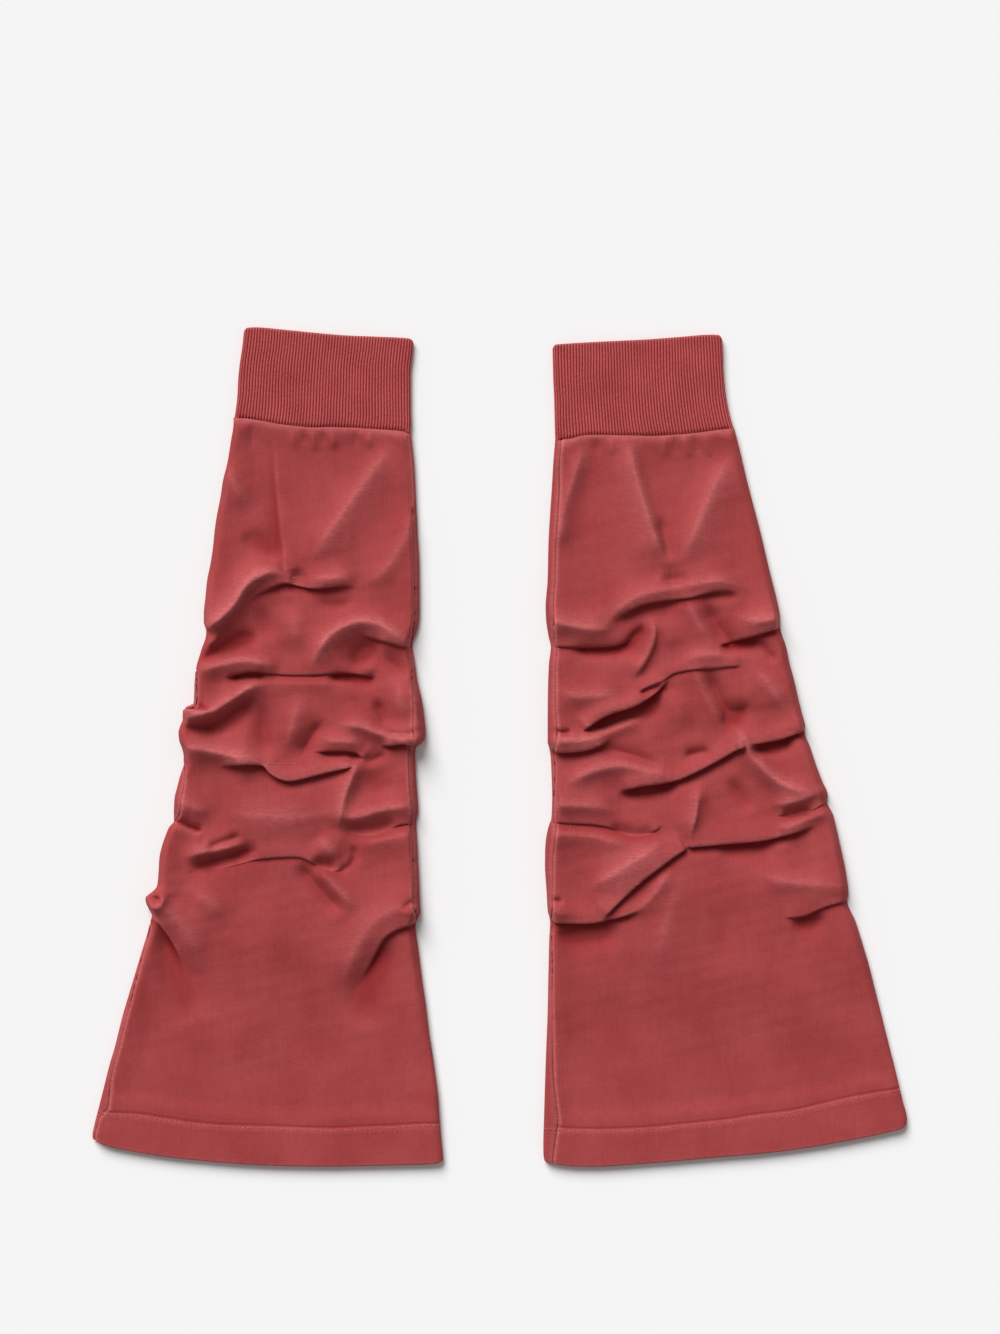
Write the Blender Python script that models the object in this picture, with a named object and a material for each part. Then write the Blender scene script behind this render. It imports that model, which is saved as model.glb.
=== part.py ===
# Pair of leg warmers laid flat: rib cuffs folded double over flared jersey legs with tacked tucks.
# Lengths are in millimetres. +X is to the right, +Y runs from the hems to the cuffs, +Z is up.
# The origin is under the middle of the pair, on the surface that it lies on.
import bmesh
import bpy
import numpy as np

MM = 0.001            # metres in a millimetre
JERSEY = 1.3          # thickness of the heavy jersey
HEM_WALL = 2.5        # jersey turned up once
HEM_DEEP = 22.3       # width of the turned-up hem
HEM_EDGE = 2.2        # a row of points lies this far above the hem's stitching, and one below it
HEM_STEP = 1.4        # between them, the wall gets its second layer this far above and below it
HEM_RISE = 5.0        # the upper wall has risen over the hem below it this far before the stitching
CUFF_WALL = 2.5       # rib folded double
SEAM_GAP = 0.3        # clear space between two pieces at a seam
REST_GAP = 0.4        # clear space between front and back where they lie on each other
CUFF_HIGH = 5.6       # height of a cuff over the surface, without its ribs
RIB_PITCH = 1.74      # from one rib of the cuff to the next
RIB_DEEP = 0.5        # how far a rib stands over its grooves
RIB_FADE = 0.4        # the share of that depth left on the fold at a cuff's top edge
CUFF_ROUND = 1.2      # how far down the soft fold at a cuff's top edge rounds off
CUFF_BENDS = (45, 0, -45)         # points round the folded side of a cuff, in degrees
CUFF_BEND_SHARE = 0.01            # each of them is this much further on the way round the ring
CUFF_BEVEL = 0.3      # a cuff's inside ends this far short of its outside
CUFF_PLAIN_SPANS = 24 # spans across the plain inside of a cuff
EDGE_FALL = 10.0      # how far the roundness of a folded edge reaches into a leg
SLACK = 3.0           # how high the loose cloth between the tucks stands over flat cloth
SLACK_TOP = (100.0, 74.0)     # y where the loose cloth starts, in the middle of a leg and at its sides
SLACK_END = (-60.0, -102.0)   # y where it ends, in the middle and at the sides
SLACK_FADE = 16.0     # over how much length it starts and ends
BULGE = 2.8           # how high the leg bulges beside the seam of its cuff
BULGE_FALL = 11.0     # how far that bulge reaches down the leg
CURL_STEP = 0.15      # the inside of a curled edge falls and runs out by at least this much a point
CURL_TOP = 78         # a seam on the top of a folded edge counts as this many degrees round it at most
CURL_UPPER = 0.72     # the first point below the seam is at this share of the seam's own angle
CURL_ANGLES = (4, -46, -90)       # the further points round a folded edge, in degrees, down to the floor
FOLD_MARGIN = 8.0     # folds reach their full height this far inside a leg's edge
STEEPEST = 1.8        # a wall is measured up to this much thicker along Z on a slope
SMOOTHING = 0.8       # how softly cloth comes to rest on the layer below

LEG_COLUMNS = 16      # columns of a front panel between its rounded edges
EDGE_COLUMNS = (0.0, 1.6, 4.4)    # columns that follow a rounded edge, measured from its seam
FLOOR_COLUMNS = (0.25, 0.5, 0.75)  # columns where a piece lies on the floor, as shares of its width
OPEN_STEP = 12.0      # distance between rows where the cloth lies flat
FOLD_STEP = 5.55       # distance between rows through the tucks
FOLD_TOP = 116.0      # y where the close rows start
FOLD_END = -116.0     # y where they end

# One row for each place along a folded side edge, from the cuff to the hem:
# y, x of the edge, how far inside it the side seam runs, and how high the edge stands.
SIDE_EDGES = {
    ("left", "left"): (
        (196.5, -158.0, 1.8, 6.2), (170, -162, 1.8, 5.6), (130, -169.5, 1.8, 5.4), (90, -175, 1.8, 6.0),
        (76, -176, 1.8, 5.6), (69, -175, 1.8, 4.0), (61, -177, 1.8, 5.4), (48, -180.4, 1.8, 6.4),
        (36, -181.6, 1.8, 6.6), (27, -182.4, 1.8, 6.0), (22, -188.2, 1.8, 8.0), (9, -191, 1.8, 8.2),
        (-6, -188, 1.8, 6.4), (-20, -191, 3.2, 6.0), (-33, -193.9, 4.6, 5.8), (-43, -194.5, 2.2, 4.0),
        (-52, -198.8, 1.8, 6.2), (-68, -202.8, 1.8, 6.8), (-82, -204, 1.8, 6.4), (-90, -210.6, 1.8, 9.4),
        (-97, -208.5, 1.8, 7.6), (-102, -207.2, 1.8, 5.4), (-120, -212.5, 1.8, 5.2), (-150, -221.5, 2.2, 5.2),
        (-180, -229.5, 2.6, 5.2), (-205, -236.3, 4.2, 5.6), (-218, -239.5, 5.2, 6.6),
        (-235, -242.4, 2.6, 6.6),
    ),
    ("left", "right"): (
        (188.5, -52, 2.0, 6.2), (170, -50, 2.0, 5.6), (130, -48, 2.3, 5.4), (90, -46.8, 2.2, 5.8),
        (73, -47.5, 2.4, 5.6), (61, -51, 1.8, 4.2), (50, -49.5, 2.6, 6.0), (34, -46.5, 3.8, 7.0),
        (20, -44, 6.0, 7.6), (8, -43, 7.0, 9.0), (3.5, -44.8, 5.6, 7.4), (-1, -49.1, 3.3, 4.8),
        (-22, -48.5, 3.4, 5.6), (-38, -47.5, 3.4, 5.6), (-44.5, -48.5, 2.6, 4.0), (-56, -48.1, 2.2, 6.0),
        (-80, -47, 2.8, 7.0), (-97, -46, 3.2, 8.8), (-102, -47.4, 1.9, 6.8), (-107, -49, 1.8, 5.0),
        (-130, -46.2, 1.8, 5.2), (-160, -42.3, 1.8, 5.2), (-190, -38, 1.8, 5.4), (-218, -35, 1.8, 6.6),
        (-247, -32.2, 1.8, 6.6),
    ),
    ("right", "left"): (
        (184, 34.5, 3.5, 6.2), (155, 32.5, 4.0, 5.6), (122, 30.5, 4.5, 5.4), (100, 30, 4.2, 5.6),
        (85, 28.8, 4.4, 6.2), (71, 29.9, 3.6, 5.6), (61.5, 32, 2.3, 4.2), (50, 30.8, 3.6, 6.0),
        (30, 30.1, 4.3, 6.8), (14, 30, 5.0, 7.6), (4, 30, 4.4, 8.4), (-1, 31.2, 2.4, 6.0),
        (-6, 31.8, 2.0, 5.0), (-30, 32.7, 1.8, 5.6), (-43, 32.1, 1.8, 4.0), (-49, 30.2, 4.2, 5.6),
        (-64, 28.4, 4.6, 6.4), (-85, 29.3, 3.0, 7.2), (-98, 30.1, 2.2, 8.6), (-104, 31.5, 1.8, 5.2),
        (-135, 30.5, 2.0, 5.2), (-170, 29.6, 3.0, 5.2), (-200, 28.5, 5.5, 5.6), (-222, 27.9, 8.5, 6.6),
        (-248.5, 28.0, 5.0, 6.6),
    ),
    ("right", "right"): (
        (190.5, 141.7, 1.8, 6.2), (160, 149.5, 1.8, 5.6), (121, 159.5, 1.8, 5.4), (90, 167, 1.8, 6.2),
        (77, 169.5, 1.8, 5.6), (71, 170.1, 1.8, 4.0), (62, 172.6, 1.8, 5.6), (41, 177.5, 1.8, 6.8),
        (20, 182.5, 1.8, 6.6), (13, 184.3, 1.8, 5.8), (9.5, 184.3, 1.8, 4.2), (-8, 190, 1.8, 6.4),
        (-24, 196, 1.8, 6.2), (-32, 197.6, 1.8, 4.0), (-42, 201.7, 1.8, 6.0), (-60, 205.7, 1.8, 6.8),
        (-82, 209.7, 1.8, 6.4), (-91, 209.8, 1.8, 4.2), (-104, 214.5, 1.8, 5.4), (-130, 222.5, 1.8, 5.2),
        (-160, 230, 1.8, 5.2), (-190, 237.5, 1.8, 5.4), (-208, 241.9, 1.8, 6.6), (-226.5, 245.4, 1.8, 6.6),
    ),
}

# Curves that cross a leg or a cuff from left to right, as rows of x and y.
CUFF_SEAMS = {
    "left": ((-158, 197.2), (-140, 195), (-120, 192.6), (-100, 191.7), (-70, 190.5), (-52, 188.6)),
    "right": ((34.5, 183.6), (45, 185.4), (58, 186.8), (90, 186.7), (110, 187.5), (141.7, 191.3)),
}
CUFF_TOPS = {
    "left": ((-152, 250.4), (-147, 251.7), (-130, 250.5), (-110, 248.5), (-90, 246.8), (-50, 244.6)),
    "right": ((32.6, 240.8), (38, 241.7), (70, 243.5), (110, 246), (130, 247.4), (135, 246.2)),
}
CUFF_SIDES = {
    ("left", "left"): ((250, -152), (235, -154), (210, -156.2), (197, -157.6)),
    ("left", "right"): ((244, -50), (230, -51.6), (205, -52), (188.5, -52)),
    ("right", "left"): ((241, 32.6), (220, 33.3), (184, 34.5)),
    ("right", "right"): ((246, 134.8), (218, 136), (202, 138.5), (191, 141.5)),
}
HEMS = {
    "left": ((-242.4, -235), (-230, -239.5), (-200, -244.8), (-160, -248.8), (-100, -250.8), (-32.2, -248)),
    "right": ((28, -248.4), (52, -250.9), (95, -248.5), (155, -243.4), (215, -234.3), (245.4, -227)),
}

# The largest folds, a row for each: height (a trough is below zero), its reach to the left and to
# the right of its run, and the points that it runs through. A short reach is a steep lip.
FOLDS = {
    "left": (
        (6.5, 8, 2.4, ((-174, 71), (-162, 79), (-150, 93), (-140, 98), (-128, 100), (-117, 97.5), (-80, 96))),
        (-4.0, 3, 2.5, ((-122, 102.5), (-117, 102), (-112, 102.5))),
        (3.0, 5, 5, ((-133, 192), (-131, 165), (-129, 140), (-126, 112))),
        (-2.2, 10, 12, ((-62, 178), (-80, 155), (-95, 135), (-108, 112), (-114, 103))),
        (2.4, 6, 6, ((-147, 122), (-135, 117), (-127, 108))),
        (-2.6, 4, 4, ((-179, 51), (-166, 58), (-145, 66))),
        (3.2, 6, 7, ((-178, 47), (-162, 52.5), (-148, 53), (-136, 50))),
        (-5.0, 3, 2, ((-163, 42), (-145, 44.5), (-120, 43.3), (-95, 43.6), (-72, 43))),
        (3.0, 13, 4, ((-140, 51), (-120, 51), (-98, 51))),
        (1.8, 3, 9, ((-150, 38), (-120, 37), (-85, 37))),
        (4.5, 6, 8, ((-112, 55), (-108, 65), (-100, 75), (-88, 80), (-75, 79), (-64, 74), (-55, 63))),
        (-4.0, 2.5, 2.2, ((-78, 66), (-68, 63.5), (-58, 61), (-50, 61))),
        (-3.0, 6, 6, ((-82, 58), (-72, 54), (-60, 55))),
        (5.0, 6, 5, ((-188, 18), (-175, 19), (-165, 24), (-155, 33), (-146, 38), (-136, 42))),
        (-4.5, 5, 5, ((-187, 11), (-175, 11.5), (-165, 17), (-157, 24), (-143, 32))),
        (5.5, 9, 3, ((-188, 1), (-175, 0), (-160, -4), (-148, -7.5), (-138, -9))),
        (5.5, 6, 2.2, ((-141, -10), (-133, -16), (-124, -17.5), (-113, -15.5), (-100, -12.5), (-86, -9.5))),
        (-3.0, 4, 6, ((-140, 15), (-138.5, 4), (-136, -4), (-132, -10))),
        (3.0, 5, 5, ((-104, 15), (-111, 7), (-116, -2), (-120, -9))),
        (-4.0, 4, 2.2, ((-109, -3), (-98, -3), (-88, -3), (-79, -8))),
        (3.0, 7, 5, ((-94, 13), (-82, 11.5), (-72, 8), (-58, 5.5), (-47, 5))),
        (-3.5, 2.2, 2.5, ((-72, 0), (-62, 1), (-49, 0.5))),
        (-2.0, 3, 3, ((-70, 28), (-67, 17), (-61, 8))),
        (-3.5, 3, 3, ((-195, -45), (-186, -49), (-177, -53))),
        (4.0, 16, 15, ((-172, -38), (-140, -42), (-115, -42), (-93, -40))),
        (-4.5, 3, 2.5, ((-187, -74), (-175, -71), (-148, -65), (-118, -67), (-108, -71), (-93, -73))),
        (3.0, 9, 2.5, ((-186, -69), (-165, -62), (-150, -58), (-133, -60))),
        (-4.0, 2.5, 2, ((-90, -53), (-77, -53), (-66, -49), (-57, -46), (-48, -44.5))),
        (3.4, 8, 4, ((-97, -45), (-80, -46), (-65, -41), (-50, -38))),
        (2.4, 3, 8, ((-82, -57), (-65, -54), (-50, -50))),
        (-3.0, 4, 4, ((-120, -69), (-113, -77), (-103, -88), (-92, -100))),
        (5.5, 13, 2.6, ((-82, -141), (-73, -124), (-67, -112), (-58, -105.5), (-45, -101))),
        (5.0, 13, 3, ((-208, -100), (-200, -105), (-193, -115), (-188, -127), (-184, -140))),
    ),
    "right": (
        (6.5, 9, 2.4, ((64, 75), (78, 83), (90, 89), (104, 91), (118, 93.5), (130, 96), (146, 92))),
        (-4.0, 3, 3, ((98, 101.5), (106, 99.5), (114, 101))),
        (2.4, 6, 6, ((52, 182), (49, 165), (44, 145), (40, 126))),
        (3.0, 4, 7, ((77, 186), (84, 162), (90, 140), (98, 122))),
        (-2.2, 14, 10, ((143, 174), (133, 145), (122, 125), (111, 101))),
        (-2.6, 5, 5, ((83, 129), (92, 112), (101, 100))),
        (-4.5, 2.5, 2.2, ((31, 61.5), (45, 60.3), (60, 60), (75, 60.5), (83, 68))),
        (3.4, 10, 5, ((40, 74), (55, 70), (70, 70))),
        (3.2, 2.6, 10, ((91, 78), (90, 66), (86, 55), (78, 42))),
        (-3.0, 4, 5, ((119, 86), (120, 73), (123, 64), (132, 58))),
        (5.0, 8, 2.2, ((132, 63.5), (142, 66), (152, 70), (162, 73.5), (171, 75))),
        (-2.0, 3, 3, ((157, 61), (163, 54), (169, 45))),
        (-4.0, 2.5, 2, ((86, 34), (97, 39), (105, 44), (118, 47), (130, 47.8), (143, 48.3))),
        (3.4, 9, 3, ((100, 47), (115, 53), (130, 55), (147, 54))),
        (5.5, 6, 2.2, ((56, 13), (66, 22), (74, 25.5), (84, 26.5), (94, 32), (103, 37))),
        (-4.0, 4, 3, ((54, 10), (64, 15), (74, 18.5), (88, 22), (100, 30))),
        (4.5, 6, 3, ((31, 4), (45, 3), (56, 5), (66, 9), (78, 14), (92, 20))),
        (-2.5, 4, 5, ((122, 47), (127, 38), (130, 28), (134, 17))),
        (-4.0, 5, 5, ((133, 15), (141, 17), (151, 26))),
        (4.0, 5, 5, ((135, 16), (143, 11), (148, 3), (153, -5), (162, -16), (172, -23), (187, -28))),
        (4.5, 9, 2.2, ((158, 6.5), (168, 9), (176, 12), (185, 14))),
        (5.5, 7, 2.2, ((72, -24), (85, -20), (98, -18.5), (110, -15.5), (122, -10.5), (134, -3.5), (148, 4))),
        (-3.5, 3, 3, ((111, -6), (120, -3), (129, -3))),
        (4.0, 7, 7, ((48, -20), (60, -9), (75, -5), (90, -8), (104, -16))),
        (-2.0, 3, 5, ((118, -21), (119, -34), (117, -48), (114.5, -60))),
        (-4.5, 2.5, 2, ((31, -43.5), (45, -45.7), (62, -46), (74, -51), (85, -53), (95, -49.5), (101, -44))),
        (3.0, 10, 5, ((38, -34), (55, -34), (72, -38))),
        (2.4, 3, 8, ((38, -51), (60, -52), (77, -58))),
        (4.5, 10, 2.5, ((111, -57), (130, -55.5), (150, -53.5), (168, -50), (189, -46))),
        (-3.2, 3, 5, ((117, -62), (135, -62), (155, -60), (174, -56.5))),
        (5.0, 9, 2.4, ((60, -101), (72, -88), (84, -77), (98, -66), (115, -56))),
        (2.4, 5, 5, ((79, -99), (90, -91), (98, -81), (104, -73))),
        (-4.0, 2.5, 2.2, ((166, -40.5), (178, -39.5), (188, -37), (198, -32))),
        (3.0, 8, 3, ((163, -35), (178, -33), (192, -27))),
        (5.0, 11, 2.2, ((30, -100), (45, -101), (60, -100), (72, -97.5), (86, -93))),
        (4.0, 10, 2.2, ((170, -99), (184, -97.5), (196, -92.5), (211, -87))),
    ),
}
FOLD_TAPER = 0.2      # a fold rises and dies away over this share of its run
FOLD_SAMPLES = 40     # points that stand for a fold's smooth run


def through(rows, column, at):
    # A smooth curve through one column of a table, against its first column, that never overshoots.
    table = np.array(sorted(rows), dtype=float)
    keys = table[:, 0]
    values = table[:, column]
    spans = np.diff(keys)
    slopes = np.diff(values) / spans
    tangents = np.zeros(len(keys))
    tangents[0] = slopes[0]
    tangents[-1] = slopes[-1]
    for k in range(1, len(slopes)):
        if slopes[k - 1] * slopes[k] > 0:
            before = 2 * spans[k] + spans[k - 1]
            after = spans[k] + 2 * spans[k - 1]
            tangents[k] = (before + after) / (before / slopes[k - 1] + after / slopes[k])
    at = np.clip(np.asarray(at, dtype=float), keys[0], keys[-1])
    k = np.clip(np.searchsorted(keys, at) - 1, 0, len(spans) - 1)
    t = (at - keys[k]) / spans[k]
    rise = values[k] * (2 * t**3 - 3 * t**2 + 1) + values[k + 1] * (3 * t**2 - 2 * t**3)
    return rise + spans[k] * (tangents[k] * (t**3 - 2 * t**2 + t) + tangents[k + 1] * (t**3 - t**2))


def step(value, start, end):
    # 0 at start, 1 at end, smooth between them.
    t = np.clip((np.asarray(value, dtype=float) - start) / (end - start), 0, 1)
    return t * t * (3 - 2 * t)


def smooth_run(points):
    # A fold's run: a cubic curve through its points, sampled evenly by point number.
    points = np.array(points, dtype=float)
    before = 2 * points[0] - points[1]
    after = 2 * points[-1] - points[-2]
    padded = np.vstack([before, points, after])
    t = np.linspace(0, len(points) - 1, FOLD_SAMPLES)
    k = np.minimum(t.astype(int), len(points) - 2)
    t = (t - k)[:, None]
    a, b, c, d = (padded[k + n] for n in range(4))
    return 0.5 * (2 * b + (c - a) * t + (2 * a - 5 * b + 4 * c - d) * t**2 + (3 * b - a - 3 * c + d) * t**3)


def fold_height(fold, x, y):
    # What one fold adds to the height of the cloth at each x and y.
    high, left_reach, right_reach, points = fold
    run = smooth_run(points)
    along = np.gradient(run, axis=0)
    away = np.stack([x[..., None] - run[:, 0], y[..., None] - run[:, 1]], axis=-1)
    distance = np.hypot(away[..., 0], away[..., 1])
    nearest = distance.argmin(axis=-1)
    offset = np.take_along_axis(away, nearest[..., None, None], axis=-2)[..., 0, :]
    run_way = along[nearest]
    left = run_way[..., 0] * offset[..., 1] - run_way[..., 1] * offset[..., 0] > 0
    reach = np.where(left, left_reach, right_reach)
    share = nearest / (FOLD_SAMPLES - 1)
    ends = step(share, -0.02, FOLD_TAPER) * step(share, 1.02, 1 - FOLD_TAPER)
    return high * ends * np.exp(-(distance.min(axis=-1) / reach) ** 2)


def wall_thickness(leg, x, y):
    # The jersey's thickness, double from the hem's stitching down.
    over_stitches = y - through(HEMS[leg], 1, x) - HEM_DEEP
    return JERSEY + (HEM_WALL - JERSEY) * step(over_stitches, HEM_STEP, -HEM_STEP)


def lower_layer(leg, x, y):
    # The height that the upper wall must clear: the lower wall, with room before its turned-up hem.
    over_stitches = y - through(HEMS[leg], 1, x) - HEM_DEEP
    return JERSEY + (HEM_WALL - JERSEY) * step(over_stitches, 3 * HEM_RISE, HEM_RISE)


def edge_distance(leg, x, y):
    # How far a point is inside the nearer side edge, and the radius of that edge.
    left = x - through(SIDE_EDGES[leg, "left"], 1, y)
    right = through(SIDE_EDGES[leg, "right"], 1, y) - x
    high_left = through(SIDE_EDGES[leg, "left"], 3, y)
    high_right = through(SIDE_EDGES[leg, "right"], 3, y)
    nearer_left = left < right
    return np.where(nearer_left, left, right), np.where(nearer_left, high_left, high_right) / 2


def leg_width(leg, y):
    return through(SIDE_EDGES[leg, "right"], 1, y) - through(SIDE_EDGES[leg, "left"], 1, y)


def top_height(leg, x, y):
    # The height of the leg's upper surface over the floor.
    x = np.asarray(x, dtype=float)
    y = np.asarray(y, dtype=float)
    inside, radius = edge_distance(leg, x, y)
    resting = lower_layer(leg, x, y) + REST_GAP + wall_thickness(leg, x, y)
    round_part = radius + np.sqrt(np.maximum(radius**2 - (radius - np.clip(inside, 0, radius)) ** 2, 0))
    fading = np.exp(-(np.maximum(inside - radius, 0) / EDGE_FALL) ** 2)
    edge = np.where(inside < radius, round_part, resting + (2 * radius - resting) * fading)
    sideways = step(1 - inside / (0.5 * leg_width(leg, y)), 0.0, 1.0)
    slack_top = SLACK_TOP[0] + (SLACK_TOP[1] - SLACK_TOP[0]) * sideways
    slack_end = SLACK_END[0] + (SLACK_END[1] - SLACK_END[0]) * sideways
    folds = SLACK * step(y - slack_top, SLACK_FADE, 0.0) * step(y - slack_end, -SLACK_FADE, 0.0)
    folds = folds + BULGE * np.exp(-((through(CUFF_SEAMS[leg], 1, x) - y) / BULGE_FALL) ** 2)
    for fold in FOLDS[leg]:
        folds = folds + fold_height(fold, x, y)
    over = edge + folds * step(inside, 1.0, FOLD_MARGIN) - resting
    settled = resting + 0.5 * (over + np.sqrt(over**2 + SMOOTHING**2))
    return np.where(inside < radius, np.maximum(edge, resting), settled)


def across(top, bottom, left, right, u, v):
    # A point of the patch between four curves: u runs from left to right, v from top to bottom.
    x0, y0 = left(v)
    x1, y1 = right(v)
    corners = [np.array(curve(end)) for curve in (top, bottom) for end in (0.0, 1.0)]
    top_bow = np.array(top(u)) - ((1 - u) * corners[0] + u * corners[1])
    low_bow = np.array(bottom(u)) - ((1 - u) * corners[2] + u * corners[3])
    return np.array([(1 - u) * x0 + u * x1, (1 - u) * y0 + u * y1]) + (1 - v) * top_bow + v * low_bow


def patch(crossing_top, crossing_low, left_rows, right_rows):
    # The function of u and v for the space between two crossing curves and two side edges.
    def crossing(rows):
        start, end = rows[0][0], rows[-1][0]
        return lambda u: (start + (end - start) * u, float(through(rows, 1, start + (end - start) * u)))

    def side(rows, end):
        top_y, low_y = crossing_top[end][1], crossing_low[end][1]
        return lambda v: (float(through(rows, 1, top_y + (low_y - top_y) * v)), top_y + (low_y - top_y) * v)

    edges = crossing(crossing_top), crossing(crossing_low), side(left_rows, 0), side(right_rows, -1)
    return lambda u, v: across(*edges, u, v)


def leg_patch(leg):
    return patch(CUFF_SEAMS[leg], HEMS[leg], SIDE_EDGES[leg, "left"], SIDE_EDGES[leg, "right"])


def cuff_patch(leg):
    return patch(CUFF_TOPS[leg], CUFF_SEAMS[leg], CUFF_SIDES[leg, "left"], CUFF_SIDES[leg, "right"])


def leg_rows(leg):
    # The rows of a leg as shares of its length, close together through the tucks and at the hem.
    top = 0.5 * (CUFF_SEAMS[leg][0][1] + CUFF_SEAMS[leg][-1][1])
    low = 0.5 * (HEMS[leg][0][1] + HEMS[leg][-1][1])
    marks = [(top - SEAM_GAP / 2, OPEN_STEP), (FOLD_TOP, FOLD_STEP), (FOLD_END, OPEN_STEP * 1.4)]
    marks += [(low + HEM_DEEP + HEM_EDGE, 2 * HEM_EDGE), (low + HEM_DEEP - HEM_EDGE, OPEN_STEP), (low, 0)]
    heights = []
    for (start, spacing), (end, _) in zip(marks, marks[1:]):
        count = max(1, round((start - end) / spacing))
        heights += list(np.linspace(start, end, count, endpoint=False))
    return [(top - y) / (top - low) for y in heights + [low]]


def row_sizes(leg, point, v):
    # A row's width, and how far inside its two side edges the seams run.
    left = point(0.0, v)
    right = point(1.0, v)
    left_inset = float(through(SIDE_EDGES[leg, "left"], 2, left[1]))
    right_inset = float(through(SIDE_EDGES[leg, "right"], 2, right[1]))
    return right[0] - left[0], left_inset, right_inset


def inner_height(leg, x, y, outer):
    # The underside of the upper wall: the wall's thickness below it, measured square to the slope.
    reach = 0.5
    slope_x = (top_height(leg, x + reach, y) - top_height(leg, x - reach, y)) / (2 * reach)
    slope_y = (top_height(leg, x, y + reach) - top_height(leg, x, y - reach)) / (2 * reach)
    stretch = np.minimum(np.sqrt(1 + slope_x**2 + slope_y**2), STEEPEST)
    wall = wall_thickness(leg, x, y)
    return np.maximum(outer - wall * stretch, lower_layer(leg, x, y) + 0.8 * REST_GAP)


def sheet_mesh(name, outer, inner):
    # A closed wall between two grids of points, rows by columns.
    rows, columns = outer.shape[:2]
    mesh = bmesh.new()
    skins = [[[mesh.verts.new(place * MM) for place in row] for row in grid] for grid in (outer, inner)]
    for skin in skins:
        for i in range(rows - 1):
            for j in range(columns - 1):
                mesh.faces.new((skin[i][j], skin[i][j + 1], skin[i + 1][j + 1], skin[i + 1][j]))
    top, low = skins
    for i in (0, rows - 1):
        for j in range(columns - 1):
            mesh.faces.new((top[i][j], top[i][j + 1], low[i][j + 1], low[i][j]))
    for j in (0, columns - 1):
        for i in range(rows - 1):
            mesh.faces.new((top[i][j], top[i + 1][j], low[i + 1][j], low[i][j]))
    return finished(name, mesh)


def finished(name, mesh):
    bmesh.ops.recalc_face_normals(mesh, faces=mesh.faces)
    data = bpy.data.meshes.new(name)
    mesh.to_mesh(data)
    mesh.free()
    data.shade_smooth()
    return data


def front_panel(leg):
    # The upper wall of a leg, from one side seam to the other.
    point = leg_patch(leg)
    rows = []
    for v in leg_rows(leg):
        width, left_inset, right_inset = row_sizes(leg, point, v)
        first = left_inset + SEAM_GAP / 2
        last = width - right_inset - SEAM_GAP / 2
        places = [first + inside for inside in EDGE_COLUMNS]
        middle = np.linspace(first + EDGE_COLUMNS[-1], last - EDGE_COLUMNS[-1], LEG_COLUMNS + 1)
        places += list(middle[1:-1]) + [last - inside for inside in reversed(EDGE_COLUMNS)]
        rows.append([point(place / width, v) for place in places])
    flat = np.array(rows)
    x, y = flat[..., 0], flat[..., 1]
    outer = top_height(leg, x, y)
    inner = inner_height(leg, x, y, outer)
    return sheet_mesh("front_" + leg, np.stack([x, y, outer], -1), np.stack([x, y, inner], -1))


def curled_side(inset, radius, wall):
    # A back panel's side, from its seam round the folded edge to the floor. For each point: how far
    # inside the edge it is on the wall's two faces, its two heights, and how far folds lift it.
    seam = inset - SEAM_GAP / 2
    seam_angle = min(np.degrees(np.arccos(np.clip(1 - seam / radius, -1, 1))), CURL_TOP)
    rows = [(seam, seam, 0.0, 0.0, 1.0)]
    for n, angle in enumerate((CURL_UPPER * seam_angle,) + CURL_ANGLES):
        across_part, up_part = np.cos(np.radians(angle)), np.sin(np.radians(angle))
        hollow = radius - wall
        hollow_in = radius - hollow * across_part
        if up_part > 0:
            hollow_in = min(hollow_in, seam - CURL_STEP * (n + 1))
        rows.append((radius - radius * across_part, hollow_in,
                     radius + radius * up_part, radius + hollow * up_part, max(up_part, 0.0)))
    return rows


def back_panel(leg):
    # The lower wall of a leg, flat on the floor, with both sides curled up to the seams.
    point = leg_patch(leg)
    rows = []
    for v in leg_rows(leg):
        width, *insets = row_sizes(leg, point, v)
        sides = []
        for side, inset, end in (("left", insets[0], 0.0), ("right", insets[1], 1.0)):
            x, y = point(end, v)
            radius = float(through(SIDE_EDGES[leg, side], 3, y)) / 2
            placed = []
            wall = float(wall_thickness(leg, x, y))
            for out_in, in_in, out_z, in_z, lift in curled_side(inset, radius, wall):
                out_u, in_u = (out_in / width, in_in / width)
                if side == "right":
                    out_u, in_u = (1 - out_u, 1 - in_u)
                placed.append((*point(out_u, v), out_z, *point(in_u, v), in_z, lift))
            sides.append(placed)
        floor = []
        for share in FLOOR_COLUMNS:
            x, y = point(share, v)
            floor.append((x, y, 0.0, x, y, float(wall_thickness(leg, x, y)), 0.0))
        rows.append(sides[0] + floor + sides[1][::-1])
    table = np.array(rows)
    outer, inner, lift = table[..., 0:3].copy(), table[..., 3:6].copy(), table[..., 6]
    top = top_height(leg, outer[..., 0], outer[..., 1])
    rise = lift * (top - outer[..., 2])
    outer[..., 2] += rise
    inner[..., 2] += rise
    for seam, inward in ((0, 1), (-1, -1)):
        inner[:, seam, 2] = inner_height(leg, inner[:, seam, 0], inner[:, seam, 1], top[:, seam])
        for n in range(1, 4):
            above = inner[:, seam + inward * (n - 1), 2]
            inner[:, seam + inward * n, 2] = np.minimum(inner[:, seam + inward * n, 2], above - CURL_STEP)
    return sheet_mesh("back_" + leg, outer, inner)


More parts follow.
